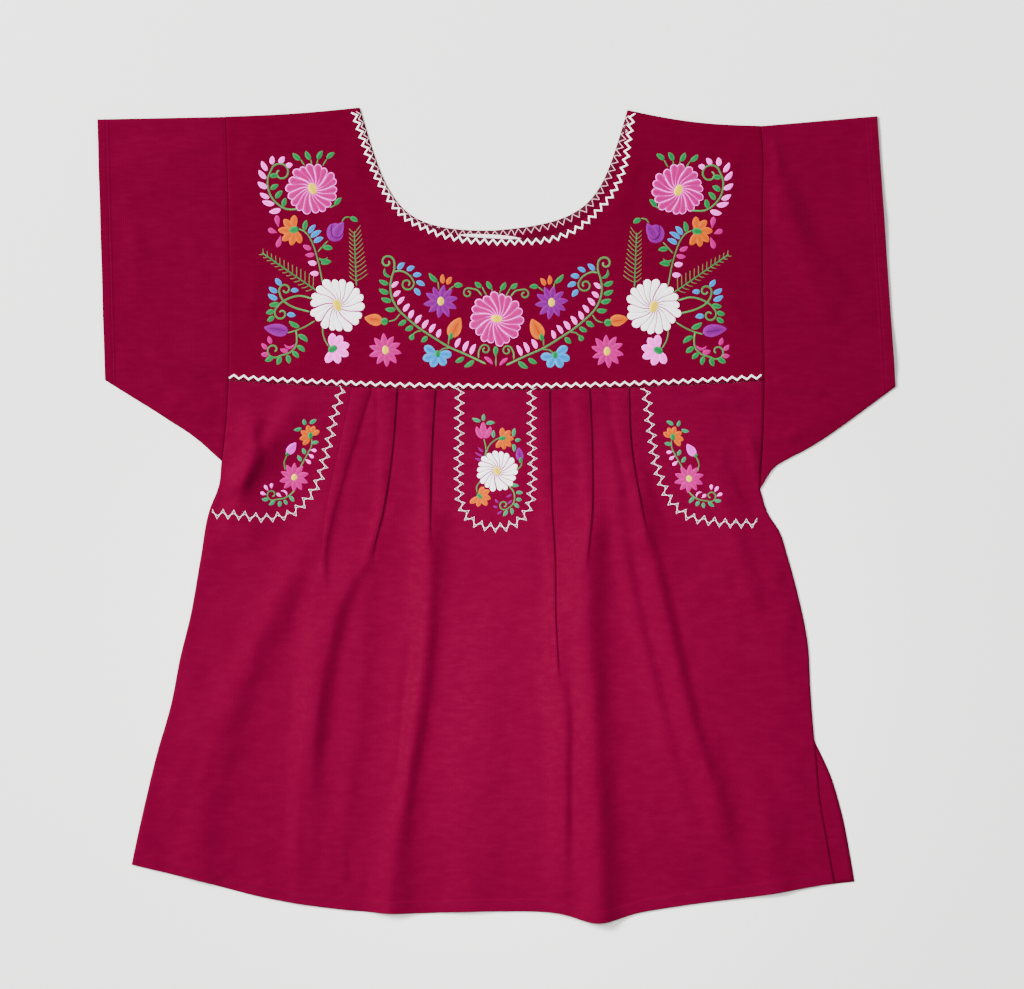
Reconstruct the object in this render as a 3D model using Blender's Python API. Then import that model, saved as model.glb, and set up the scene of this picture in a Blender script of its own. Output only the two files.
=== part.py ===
# Embroidered cotton blouse, laid flat with its front up.
# Metres, +Z up, neck towards +Y, origin at the middle of the resting face.
# Sizes below are in millimetres, and become metres when a mesh is made.
import bpy
import bmesh
import numpy as np

MM = 0.001

# The cloth
WALL = 1.0
GAP = 0.3
LAYER = WALL + GAP
FRONT_BASE = WALL + GAP
HEM_WALL = 1.5
HEM_BAND = 9.0

# The yoke seam bows down a little in the middle of the front
SEAM_MIDDLE_Y = 100.2
SEAM_BOW = 7.0
SEAM_HALF = 205.0

# Armhole seams, a row for each height from the shoulder to below both armpits
ARMHOLE_COLUMNS = ("y", "left", "right")
ARMHOLE = (
    (317.4, -216.6, 210.8),
    (290.0, -215.5, 213.2),
    (252.0, -214.6, 213.0),
    (208.0, -213.7, 212.8),
    (165.0, -213.5, 213.4),
    (112.0, -214.4, 214.2),
    (60.0, -217.8, 213.2),
    (43.0, -220.0, 212.2),
    (20.6, -223.4, 210.8),
)

# Side edges of the body from each armpit to the hem
SIDE_COLUMNS = ("y", "x")
LEFT_SIDE = (
    (43.0, -220.0),
    (24.0, -222.0),
    (4.0, -229.6),
    (-34.0, -236.6),
    (-81.0, -244.9),
    (-114.0, -253.0),
    (-151.0, -260.2),
    (-191.0, -271.6),
    (-231.0, -281.3),
    (-262.0, -288.2),
    (-300.0, -296.0),
)
RIGHT_SIDE = (
    (20.6, 210.8),
    (0.0, 217.8),
    (-12.6, 226.0),
    (-32.0, 232.4),
    (-64.0, 241.1),
    (-105.0, 249.2),
    (-135.0, 250.8),
    (-171.0, 253.4),
    (-191.0, 255.4),
    (-231.0, 259.0),
    (-262.0, 264.6),
    (-300.0, 271.0),
)

# The back's right edge leaves the front's below the top of the side slit
SLIT_COLUMNS = ("y", "right")
BACK_SLIT = (
    (-181.0, 254.6),
    (-206.0, 266.4),
    (-236.0, 275.6),
    (-270.0, 282.5),
    (-300.0, 287.4),
)

# Lower edges of the front and the back, a row for each place across
HEM_COLUMNS = ("x", "front", "back")
HEM_SECTIONS = (
    (-296.0, -279.6, -279.0),
    (-250.0, -290.0, -289.0),
    (-181.0, -307.0, -305.0),
    (-91.0, -318.0, -314.0),
    (0.0, -317.0, -314.0),
    (50.0, -318.6, -313.0),
    (82.0, -325.8, -312.0),
    (113.0, -318.4, -311.0),
    (145.0, -313.0, -309.0),
    (214.0, -304.0, -302.0),
    (271.0, -294.6, -295.0),
    (290.0, -292.0, -293.0),
)

# Neck curves, each half a cubic from the middle of the neck to the shoulder
NECK_SHOULDER_LEFT = (-109.6, 325.8)
NECK_SHOULDER_RIGHT = (104.6, 323.8)
FRONT_NECK_MIDDLE = (-2.0, 221.2)
FRONT_NECK_LEFT = ((-78.5, 223.0), (-90.0, 254.5))
FRONT_NECK_RIGHT = ((71.0, 215.8), (100.5, 252.0))
BACK_NECK_MIDDLE = (-2.0, 227.7)
BACK_NECK_LEFT = ((-86.1, 225.7), (-86.8, 254.9))
BACK_NECK_RIGHT = ((78.7, 234.0), (83.3, 250.5))
SHOULDER_LEFT = (-216.6, 318.6)
SHOULDER_RIGHT = (210.8, 311.2)
YOKE_CORNER_SHARE = 0.3

# How far each shoulder's upper edge sags below a straight line, and the share of the neck that follows it
SHOULDER_SAG = {"left": 1.2, "right": 3.2}
SAG_SHARE = 0.08

# Sleeves: ends of the armhole line and of the cuff line
ARMPIT_LEFT = (-220.0, 43.0)
ARMPIT_RIGHT = (210.8, 20.6)
CUFF_LEFT_TOP = (-319.1, 316.6)
CUFF_LEFT_LOW = (-313.0, 107.6)
CUFF_RIGHT_TOP = (304.4, 319.2)
CUFF_RIGHT_LOW = (319.1, 102.4)

# How far the sleeves' lower edges curve above a straight line, from the armpit out to the cuff
LOW_EDGE_COLUMNS = ("out", "left", "right")
LOW_EDGE_RISE = (
    (0.0, 0.0, 0.0),
    (0.08, 0.8, 8.6),
    (0.18, 2.2, 8.4),
    (0.30, 2.8, 5.4),
    (0.45, 2.1, 2.8),
    (0.60, 1.7, 1.6),
    (0.75, 0.9, 1.0),
    (0.90, 0.3, 0.4),
    (1.0, 0.0, 0.0),
)

# Zigzag trims: a folded white tape
TRIM_WIDTH = 2.0
TRIM_THICK = 0.9
TRIM_TALL = 5.2
TRIM_PERIOD = 7.4
NECK_TRIM_INSET = 3.4
SEAM_TRIM_RISE = 3.4

# The plain strip inside the back neck
LABEL_LEFT = -19.0
LABEL_RIGHT = 20.0
LABEL_LOW = 222.4
LABEL_TOP = 225.8
LABEL_THICK = 0.4

# Folds of the front panel. Each row gives where the fold's crest runs across at the heights below,
# how high it lifts, how far it reaches on each side, and between which heights it is there.
# A pleat also has the side that its edge faces, the cloth laid under it and its last closed section.
FOLD_HEIGHTS = (100.0, 55.0, 10.0, -35.0, -80.0, -130.0, -185.0, -240.0, -300.0)
FOLD_COLUMNS = ("crest", "lift", "reach_left", "reach_right", "starts", "full", "fades", "ends",
                "faces", "underlap", "last_closed")
PLEATS = {
    "left_outer": ((-115.2, -125.2, -134.8, -140.4, -143.6, -148.0, -154.0, -157.0, -158.0),
                   5.0, 9.0, 20.0, 20.0, -70.0, -260.0, -420.0, -1, 12.2, 7),
    "left_middle": ((-79.8, -83.2, -89.6, -99.6, -106.0, -111.0, -116.6, -121.4, -124.6),
                    6.0, 17.0, 12.0, 30.0, -60.0, -240.0, -420.0, 1, 12.2, 6),
    "left_inner": ((-49.2, -52.0, -53.2, -52.8, -54.8, -60.4, -68.4, -76.4, -85.0),
                   7.0, 12.0, 14.0, 40.0, -40.0, -330.0, -500.0, 1, 12.2, 5),
    "right_inner": ((42.3, 42.8, 44.0, 46.4, 47.0, 50.0, 53.0, 54.0, 54.0),
                    4.5, 12.0, 9.0, -50.0, -110.0, -220.0, -420.0, 1, 12.2, 11),
    "right_middle": ((74.2, 76.2, 76.4, 73.0, 71.0, 73.4, 76.6, 79.8, 81.4),
                     9.5, 17.0, 14.0, 45.0, -30.0, -330.0, -500.0, 1, 12.2, 6),
    "right_outer": ((105.6, 107.6, 115.0, 125.6, 135.6, 147.6, 162.0, 178.0, 190.0),
                    5.5, 14.0, 11.0, 60.0, 0.0, -200.0, -330.0, 1, 12.2, 5),
}
SOFT_FOLDS = {
    "right_drag": ((84.0, 90.0, 97.0, 104.0, 112.6, 124.6, 139.0, 152.0, 160.0),
                   3.6, 8.0, 8.0, 90.0, 20.0, -180.0, -290.0, 0, 0.0, 0),
    "right_side": ((160.0, 175.0, 188.0, 200.0, 216.0, 232.0, 240.0, 246.0, 250.0),
                   4.6, 14.0, 11.0, 80.0, 10.0, -60.0, -150.0, 0, 0.0, 0),
    "left_armpit": ((-146.0, -183.0, -205.0, -222.0, -230.0, -236.0, -240.0, -245.0, -250.0),
                    6.0, 12.0, 16.0, 98.0, 50.0, 20.0, -30.0, 0, 0.0, 0),
    "left_side": ((-140.0, -142.0, -146.0, -158.0, -180.0, -203.0, -216.0, -226.0, -232.0),
                  4.6, 14.0, 14.0, 30.0, -50.0, -130.0, -220.0, 0, 0.0, 0),
    "left_hem": ((-180.0, -185.0, -190.0, -200.0, -215.0, -222.0, -228.0, -235.0, -244.0),
                 3.4, 16.0, 16.0, -110.0, -190.0, -330.0, -500.0, 0, 0.0, 0),
    "right_hem": ((180.0, 184.0, 188.0, 194.0, 200.0, 206.0, 212.0, 218.0, 224.0),
                  3.0, 16.0, 16.0, -150.0, -230.0, -330.0, -500.0, 0, 0.0, 0),
    "centre": ((-4.0, -4.0, -4.0, -4.0, -6.0, -8.0, -12.0, -16.0, -22.0),
               2.6, 18.0, 18.0, -40.0, -130.0, -330.0, -500.0, 0, 0.0, 0),
}
EDGE_FADE = 22.0
TOP_FADE = 26.0

# Sections of the panels, as shares of their length, and plain columns between neighbouring pleats
UPPER_ROWS = (0.0, 0.03, 0.075, 0.12)
LOWER_ROWS = (0.25, 0.29, 0.33, 0.37, 0.41, 0.455, 0.505, 0.56, 0.62, 0.68, 0.74, 0.80, 0.86,
              0.92, 0.975, 1.0)
PLAIN_COLUMNS = (10, 2, 2, 6, 2, 3, 9)
TURN = LAYER / 2
PLEAT_LEAST = 2.2
PLEAT_SLOPE = 4.0
PLEAT_SHOULDER = 0.8

# How a pleat opens, a row for each section: standing up, leaning over, nearly flat and open
OPENING_PLACES = (
    (-6.4, -2.8, -1.3, -0.5, -0.1, 0.1, 0.1, 0.2, 0.6, 1.4),
    (-9.0, -5.2, -3.4, -2.2, -1.2, -0.3, 0.6, 1.5, 2.6, 4.0),
    (-10.5, -8.2, -5.8, -3.5, -1.2, 1.2, 3.5, 5.8, 8.2, 10.5),
)
OPENING_HEIGHTS = (
    (0.0, 2.6, 2.6, 2.45, 2.0, 1.5, 1.0, 0.55, 0.12, 0.0),
    (0.0, 1.7, 2.1, 2.0, 1.7, 1.3, 0.9, 0.5, 0.15, 0.0),
    (0.0, 0.0, 0.0, 0.0, 0.0, 0.0, 0.0, 0.0, 0.0, 0.0),
)


# Mesh density
BACK_COLUMNS = 9
YOKE_SIDE_STEPS = 9
YOKE_SEAM_STEPS = 17
YOKE_RINGS = 5
SLEEVE_UNDER_COLUMNS = 15
SLEEVE_UPPER_COLUMNS = 19

# Sleeve folds: where the crest runs, as shares of the sleeve's depth, and how it lifts
SLEEVE_FOLD_COLUMNS = ("up_at_armhole", "up_at_cuff", "reach", "lift", "grows_by")
SLEEVE_FOLDS = {
    "left": {
        "upper": (0.86, 0.80, 0.07, 1.6, 0.5),
        "middle": (0.50, 0.55, 0.09, 1.3, 0.8),
        "lower": (0.12, 0.26, 0.07, 1.8, 0.4),
    },
    "right": {
        "diagonal": (0.93, 0.12, 0.055, 3.6, 0.3),
        "middle": (0.55, 0.62, 0.10, 1.4, 0.8),
        "lower": (0.10, -0.10, 0.08, 1.6, 0.4),
    },
}

# Colours, linear
BODY_RED = (0.31, 0.006, 0.042)
YOKE_RED = (0.22, 0.003, 0.026)
SLEEVE_RED = (0.24, 0.003, 0.029)
THREAD_WHITE = (0.85, 0.82, 0.80)


def column(table, names, name):
    return np.array([row[names.index(name)] for row in table], dtype=float)


def smooth_through(places, values, at):
    # Cubic curve through a table's rows, with each row's slope taken from its neighbours
    places = np.asarray(places, dtype=float)
    values = np.asarray(values, dtype=float)
    if places[0] > places[-1]:
        places = places[::-1]
        values = values[::-1]
    slopes = np.gradient(values, places)
    at = np.clip(np.asarray(at, dtype=float), places[0], places[-1])
    step = np.clip(np.searchsorted(places, at, side="right") - 1, 0, len(places) - 2)
    width = places[step + 1] - places[step]
    t = (at - places[step]) / width
    start = (1 + 2 * t) * (1 - t) ** 2 * values[step] + t * (1 - t) ** 2 * width * slopes[step]
    end = t * t * (3 - 2 * t) * values[step + 1] + t * t * (t - 1) * width * slopes[step + 1]
    return start + end


def ease(low, high, at):
    t = np.clip((np.asarray(at, dtype=float) - low) / (high - low), 0.0, 1.0)
    return t * t * (3 - 2 * t)


def seam_y(x):
    return SEAM_MIDDLE_Y + SEAM_BOW * (np.asarray(x, dtype=float) / SEAM_HALF) ** 2


def hem_y(x, side):
    return smooth_through(column(HEM_SECTIONS, HEM_COLUMNS, "x"),
                          column(HEM_SECTIONS, HEM_COLUMNS, side), x)


def panel_y(share, top_x, low_x, side):
    # Height of a panel's point between the yoke seam and the hem
    return (1 - share) * (seam_y(top_x) - GAP / 2) + share * hem_y(low_x, side)


def body_edge(side, y):
    # The armhole above the armpit, and the side seam below it
    table, armpit = (LEFT_SIDE, ARMPIT_LEFT) if side == "left" else (RIGHT_SIDE, ARMPIT_RIGHT)
    seam = smooth_through(column(ARMHOLE, ARMHOLE_COLUMNS, "y"), column(ARMHOLE, ARMHOLE_COLUMNS, side), y)
    below = smooth_through(column(table, SIDE_COLUMNS, "y"), column(table, SIDE_COLUMNS, "x"), y)
    return np.where(np.asarray(y, dtype=float) > armpit[1], seam, below)


def panel_rows():
    # One section passes through each armpit, so that the corners there stay sharp
    shares = []
    for armpit, hem in ((ARMPIT_LEFT, HEM_SECTIONS[0][1]), (ARMPIT_RIGHT, HEM_SECTIONS[-2][1])):
        top = float(seam_y(armpit[0])) - GAP / 2
        shares.append((top - armpit[1]) / (top - hem))
    return UPPER_ROWS + tuple(shares) + LOWER_ROWS


def back_right_edge(y):
    slit = smooth_through(column(BACK_SLIT, SLIT_COLUMNS, "y"),
                          column(BACK_SLIT, SLIT_COLUMNS, "right"), y)
    return np.where(np.asarray(y) < BACK_SLIT[0][0], slit, body_edge("right", y))


def neck_half(middle, handles, shoulder, count):
    # Cubic curve from the middle of the neck to the shoulder
    t = np.linspace(0.0, 1.0, count)[:, None]
    p0, p1, p2, p3 = [np.array(point) for point in (middle, handles[0], handles[1], shoulder)]
    return (1 - t) ** 3 * p0 + 3 * t * (1 - t) ** 2 * p1 + 3 * t * t * (1 - t) * p2 + t ** 3 * p3


def neck_curve(middle, left, right, inset=0.0, half_count=40):
    # The whole neck from the left shoulder to the right one, moved into the cloth by the inset
    left_half = neck_half(middle, left, NECK_SHOULDER_LEFT, half_count)[::-1]
    right_half = neck_half(middle, right, NECK_SHOULDER_RIGHT, half_count)[1:]
    points = np.vstack([left_half, right_half])
    along = np.gradient(points, axis=0)
    along /= np.linalg.norm(along, axis=1)[:, None]
    return points + inset * np.column_stack([along[:, 1], -along[:, 0]])


def at_even_steps(points, shares):
    # Points of a path at the given shares of its length
    length = np.r_[0.0, np.cumsum(np.linalg.norm(np.diff(points, axis=0), axis=1))]
    at = np.asarray(shares) * length[-1]
    return np.column_stack([np.interp(at, length, points[:, axis]) for axis in range(points.shape[1])])


def new_object(name, mesh, colour, roughness=0.9):
    material = bpy.data.materials.new(name + "_cloth")
    material.use_nodes = True
    shader = material.node_tree.nodes["Principled BSDF"]
    shader.inputs["Base Color"].default_value = (*colour, 1.0)
    shader.inputs["Roughness"].default_value = roughness
    mesh.materials.append(material)
    piece = bpy.data.objects.new(name, mesh)
    bpy.context.scene.collection.objects.link(piece)
    return piece


def wall_between(name, top, under, colour, ring=False):
    # Closed wall from two matching grids of points: its outer face and its inner face.
    # With ring set, each row closes on itself, which makes a tube that is open at both ends.
    rows, columns = top.shape[:2]
    mesh = bpy.data.meshes.new(name)
    shape = bmesh.new()
    outer = [[shape.verts.new(point * MM) for point in row] for row in top]
    inner = [[shape.verts.new(point * MM) for point in row] for row in under]
    last = columns if ring else columns - 1
    for i in range(rows - 1):
        for j in range(last):
            k = (j + 1) % columns
            shape.faces.new((outer[i][j], outer[i + 1][j], outer[i + 1][k], outer[i][k]))
            shape.faces.new((inner[i][j], inner[i][k], inner[i + 1][k], inner[i + 1][j]))
    for j in range(last):
        k = (j + 1) % columns
        shape.faces.new((outer[0][j], outer[0][k], inner[0][k], inner[0][j]))
        shape.faces.new((outer[-1][k], outer[-1][j], inner[-1][j], inner[-1][k]))
    if not ring:
        for i in range(rows - 1):
            shape.faces.new((outer[i + 1][0], outer[i][0], inner[i][0], inner[i + 1][0]))
            shape.faces.new((outer[i][-1], outer[i + 1][-1], inner[i + 1][-1], inner[i][-1]))
    bmesh.ops.recalc_face_normals(shape, faces=shape.faces[:])
    shape.to_mesh(mesh)
    shape.free()
    return new_object(name, mesh, colour)


def flat_plate(name, grid, base, thick, colour):
    # A flat piece of cloth from a grid of plan points
    heights = np.full(grid.shape[:2] + (1,), base)
    under = np.concatenate([grid, heights], axis=2)
    top = np.concatenate([grid, heights + thick], axis=2)
    return wall_between(name, top, under, colour)


def crest_x(crest, y):
    return smooth_through(FOLD_HEIGHTS, crest, y)


def cloth_lift(x, y):
    # How high the front panel's soft folds stand over its base at a place
    lift = np.zeros(np.broadcast(x, y).shape)
    for fold in list(PLEATS.values()) + list(SOFT_FOLDS.values()):
        row = dict(zip(FOLD_COLUMNS, fold))
        away = x - crest_x(row["crest"], y)
        reach = np.where(away < 0, row["reach_left"], row["reach_right"])
        strength = ease(row["starts"], row["full"], y) * (1 - ease(row["fades"], row["ends"], y))
        lift += row["lift"] * strength * np.exp(-(away / reach) ** 2)
    edge = np.minimum(x - body_edge("left", y), body_edge("right", y) - x)
    return lift * ease(0.0, EDGE_FADE, edge) * ease(0.0, TOP_FADE, seam_y(x) - y)


def anchor_x(number, fold, y):
    # Where a pleat's crest, or the panel's side edge at either end, runs at a height
    if fold is not None:
        return float(crest_x(fold[0], y))
    return float(body_edge("left" if number == 0 else "right", y))


def pleat_section(fold, number):
    # Centre line of one pleat at a numbered section, from left to right: places beside its edge,
    # and heights over the base. The cloth runs on top to the edge, turns under, comes back, turns
    # again and runs on below. Past its last closed section it stands up, leans over and lies open.
    row = dict(zip(FOLD_COLUMNS, fold))
    past = number - row["last_closed"]
    if past <= 0:
        under = PLEAT_LEAST + (row["underlap"] - PLEAT_LEAST) * (-past / row["last_closed"])
        place = np.array([-under - PLEAT_SLOPE, -under - PLEAT_SHOULDER, -TURN, 0.0, 0.0, -TURN,
                          -under + TURN, -under, -under, -under + TURN])
        height = np.array([0.0, 2.0, 2.0, 1.73, 1.27, 1.0, 1.0, 0.73, 0.27, 0.0]) * LAYER
    else:
        place = np.array(OPENING_PLACES[min(past, len(OPENING_PLACES)) - 1])
        height = np.array(OPENING_HEIGHTS[min(past, len(OPENING_HEIGHTS)) - 1])
    if row["faces"] < 0:
        return -place[::-1], height[::-1]
    return place, height


def front_centre_line():
    # The front panel's middle surface: a row of points across for each section
    anchors = [None] + list(PLEATS.values()) + [None]
    grid = []
    for section, share in enumerate(panel_rows()):
        edges = []
        for number, fold in enumerate(anchors):
            top_x = anchor_x(number, fold, FOLD_HEIGHTS[0])
            low_x = anchor_x(number, fold, FOLD_HEIGHTS[-1])
            x = anchor_x(number, fold, panel_y(share, top_x, low_x, "front"))
            place = np.zeros(1)
            height = np.zeros(1)
            if fold is not None:
                place, height = pleat_section(fold, section)
            across = panel_y(share, top_x + place, low_x + place, "front")
            edges.append((top_x + place, low_x + place, x + place, across, height))
        row = []
        for number in range(len(edges) - 1):
            here = edges[number]
            beyond = edges[number + 1]
            row += list(zip(here[2], here[3], here[4]))
            for step in range(1, PLAIN_COLUMNS[number] + 1):
                f = step / (PLAIN_COLUMNS[number] + 1)
                top_x = here[0][-1] * (1 - f) + beyond[0][0] * f
                low_x = here[1][-1] * (1 - f) + beyond[1][0] * f
                y = float(panel_y(share, top_x, low_x, "front"))
                row.append((here[2][-1] * (1 - f) + beyond[2][0] * f, y, 0.0))
        last = edges[-1]
        row.append((last[2][0], last[3][0], 0.0))
        grid.append(row)
    return np.array(grid)


def section_normals(points):
    # Across each section, the direction out of the cloth's upper face
    along = np.zeros_like(points)
    steps = np.diff(points, axis=1)
    steps[..., 1] = 0.0
    steps /= np.maximum(np.linalg.norm(steps, axis=2), 1e-9)[..., None]
    along[:, 0] = steps[:, 0]
    along[:, -1] = steps[:, -1]
    along[:, 1:-1] = steps[:, :-1] + steps[:, 1:]
    along /= np.linalg.norm(along, axis=2)[..., None]
    return np.stack([-along[..., 2], np.zeros(along.shape[:2]), along[..., 0]], axis=2)


def make_front_panel():
    middle = front_centre_line()
    middle[..., 2] += FRONT_BASE + WALL / 2 + cloth_lift(middle[..., 0], middle[..., 1])
    outward = section_normals(middle)
    above_hem = (middle[..., 1] - middle[-1:, :, 1])[..., None]
    thick = WALL / 2 + (HEM_WALL - WALL) * (above_hem < HEM_BAND + 3.0)
    return wall_between("front_panel", middle + outward * thick, middle - outward * WALL / 2, BODY_RED)


def make_back_panel():
    grid = []
    for share in panel_rows():
        row = []
        seam_side_y = float(seam_y(SHOULDER_LEFT[0]))
        left_y = (1 - share) * seam_side_y + share * HEM_SECTIONS[0][2]
        right_y = (1 - share) * seam_side_y + share * HEM_SECTIONS[-1][2]
        left_x = float(body_edge("left", left_y))
        right_x = float(back_right_edge(right_y))
        for f in np.linspace(0.0, 1.0, BACK_COLUMNS):
            x = left_x * (1 - f) + right_x * f
            top_x = float(body_edge("left", FOLD_HEIGHTS[0])) * (1 - f)
            top_x += float(body_edge("right", FOLD_HEIGHTS[0])) * f
            low_x = HEM_SECTIONS[0][0] * (1 - f) + BACK_SLIT[-1][1] * f
            row.append((x, float(panel_y(share, top_x, low_x, "back"))))
        grid.append(row)
    return flat_plate("back_panel", np.array(grid), 0.0, WALL, BODY_RED)


def yoke_grid(neck):
    # From the neck edge out to the armholes and the yoke seam
    top_left = np.array(SHOULDER_LEFT)
    top_right = np.array(SHOULDER_RIGHT)
    left_y = np.linspace(top_left[1], float(seam_y(SHOULDER_LEFT[0])) + GAP / 2, YOKE_SIDE_STEPS)
    right_y = np.linspace(float(seam_y(SHOULDER_RIGHT[0])) + GAP / 2, top_right[1], YOKE_SIDE_STEPS)
    left_side = np.column_stack([body_edge("left", left_y), left_y])
    right_side = np.column_stack([body_edge("right", right_y), right_y])
    seam_x = np.linspace(left_side[-1, 0], right_side[0, 0], YOKE_SEAM_STEPS)
    seam = np.column_stack([seam_x, seam_y(seam_x) + GAP / 2])
    outer = np.vstack([left_side, seam[1:-1], right_side])
    shares = np.r_[np.linspace(0.0, YOKE_CORNER_SHARE, YOKE_SIDE_STEPS),
                   np.linspace(YOKE_CORNER_SHARE, 1 - YOKE_CORNER_SHARE, YOKE_SEAM_STEPS)[1:-1],
                   np.linspace(1 - YOKE_CORNER_SHARE, 1.0, YOKE_SIDE_STEPS)]
    inner = at_even_steps(neck, shares)
    mix = np.linspace(0.0, 1.0, YOKE_RINGS)[:, None, None]
    grid = inner[None] * (1 - mix) + outer[None] * mix
    sag = SHOULDER_SAG["left"] * ease(SAG_SHARE, 0.0, shares)
    sag += SHOULDER_SAG["right"] * ease(1 - SAG_SHARE, 1.0, shares)
    grid[:, :, 1] -= sag * np.sin(np.pi * mix[:, :, 0])
    return grid


def make_yokes():
    front_neck = neck_curve(FRONT_NECK_MIDDLE, FRONT_NECK_LEFT, FRONT_NECK_RIGHT)
    back_neck = neck_curve(BACK_NECK_MIDDLE, BACK_NECK_LEFT, BACK_NECK_RIGHT)
    flat_plate("front_yoke", yoke_grid(front_neck), FRONT_BASE, WALL, YOKE_RED)
    flat_plate("back_yoke", yoke_grid(back_neck), 0.0, WALL, YOKE_RED)


def sleeve_lift(side, out, up):
    # Soft folds on a sleeve's upper layer: out runs from the armhole to the cuff, up from the seam
    lift = np.zeros(np.broadcast(out, up).shape)
    for fold in SLEEVE_FOLDS[side].values():
        row = dict(zip(SLEEVE_FOLD_COLUMNS, fold))
        away = (up - row["up_at_armhole"]) * (1 - out) + (up - row["up_at_cuff"]) * out
        lift += row["lift"] * np.exp(-(away / row["reach"]) ** 2) * ease(0.0, row["grows_by"], out)
    return lift * ease(0.0, 0.16, out) * ease(0.0, 0.08, up) * ease(1.0, 0.92, up)


def make_sleeve(side):
    # A flattened tube of rings, from the armhole to the cuff, folded along the shoulder
    left = side == "left"
    shoulder = np.array(SHOULDER_LEFT if left else SHOULDER_RIGHT)
    armpit = np.array(ARMPIT_LEFT if left else ARMPIT_RIGHT)
    cuff_top = np.array(CUFF_LEFT_TOP if left else CUFF_RIGHT_TOP)
    cuff_low = np.array(CUFF_LEFT_LOW if left else CUFF_RIGHT_LOW)
    sign = -1.0 if left else 1.0
    under_share = np.linspace(0.0, 1.0, SLEEVE_UNDER_COLUMNS)
    upper_share = np.linspace(1.0, 0.0, SLEEVE_UPPER_COLUMNS)
    outer = []
    inner = []
    for station in LOW_EDGE_RISE:
        out = station[LOW_EDGE_COLUMNS.index("out")]
        rise = station[LOW_EDGE_COLUMNS.index(side)]
        top = shoulder * (1 - out) + cuff_top * out
        low = armpit * (1 - out) + cuff_low * out + np.array([0.0, rise])
        span = np.linalg.norm(top - low)
        inset = (WALL / 2 + TURN) / span
        end = WALL / 2 / span
        up = np.r_[inset + under_share * (1 - 2 * inset), 1 - end, 1 - end,
                   inset + upper_share * (1 - 2 * inset), end, end]
        height = np.r_[np.zeros(len(under_share)), 0.27, 0.73, np.ones(len(upper_share)), 0.73, 0.27] * LAYER
        height += WALL / 2
        first = len(under_share) + 2
        last = first + len(upper_share)
        height[first:last] += sleeve_lift(side, out, up[first:last])
        plan = low[None] * (1 - up[:, None]) + top[None] * up[:, None]
        bow = (body_edge(side, plan[:, 1]) - (shoulder[0] * up + armpit[0] * (1 - up))) * (1 - out)
        plan[:, 0] += bow + sign * GAP * (1 - out)
        ring = np.column_stack([plan, height])
        around = np.column_stack([up * span, height])
        step = np.roll(around, -1, axis=0) - np.roll(around, 1, axis=0)
        step /= np.linalg.norm(step, axis=1)[:, None]
        across = (top - low) / span
        normal = np.column_stack([step[:, 1:] * across[None], -step[:, 0]])
        outer.append(ring + normal * WALL / 2)
        inner.append(ring - normal * WALL / 2)
    return wall_between("sleeve_" + side, np.array(outer), np.array(inner), SLEEVE_RED, ring=True)


def make_zigzag(name, guide, base):
    # A flat tape folded in even zigzags along a guide line
    length = np.linalg.norm(np.diff(guide, axis=0), axis=1).sum()
    count = 2 * int(round(length / TRIM_PERIOD)) + 1
    points = at_even_steps(guide, np.linspace(0.0, 1.0, count))
    along = np.gradient(points, axis=0)
    along /= np.linalg.norm(along, axis=1)[:, None]
    side = np.column_stack([-along[:, 1], along[:, 0]])
    swing = (TRIM_TALL - TRIM_WIDTH * 1.4) / 2
    points = points + side * (swing * (-1.0) ** np.arange(count))[:, None]
    leg = np.diff(points, axis=0)
    leg /= np.linalg.norm(leg, axis=1)[:, None]
    leg_side = np.column_stack([-leg[:, 1], leg[:, 0]])
    mitre = np.vstack([leg_side[:1], leg_side[:-1] + leg_side[1:], leg_side[-1:]])
    mitre /= np.linalg.norm(mitre, axis=1)[:, None]
    reach = TRIM_WIDTH / 2 / np.einsum("ij,ij->i", mitre, np.vstack([leg_side, leg_side[-1:]]))
    grid = np.stack([points + mitre * reach[:, None], points - mitre * reach[:, None]], axis=1)
    return flat_plate(name, grid, base, TRIM_THICK, THREAD_WHITE)


def make_trims():
    neck = neck_curve(FRONT_NECK_MIDDLE, FRONT_NECK_LEFT, FRONT_NECK_RIGHT, inset=NECK_TRIM_INSET)
    base = FRONT_BASE + WALL + GAP
    make_zigzag("neck_braid", at_even_steps(neck, np.linspace(0.012, 0.988, 80)), base)
    seam_x = np.linspace(SHOULDER_LEFT[0] + 3.5, SHOULDER_RIGHT[0] + 1.0, 60)
    make_zigzag("yoke_braid", np.column_stack([seam_x, seam_y(seam_x) + SEAM_TRIM_RISE]), base)


def make_label():
    grid = np.array([[(x, y) for x in (LABEL_LEFT, LABEL_RIGHT)] for y in (LABEL_TOP, LABEL_LOW)])
    return flat_plate("neck_label", grid, FRONT_BASE, LABEL_THICK, THREAD_WHITE)


def main():
    for old in list(bpy.data.objects):
        bpy.data.objects.remove(old, do_unlink=True)
    make_back_panel()
    make_yokes()
    make_front_panel()
    for side in ("left", "right"):
        make_sleeve(side)
    make_trims()
    make_label()


main()
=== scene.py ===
import math
import bpy
import numpy as np
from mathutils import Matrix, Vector
from mathutils.bvhtree import BVHTree


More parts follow.
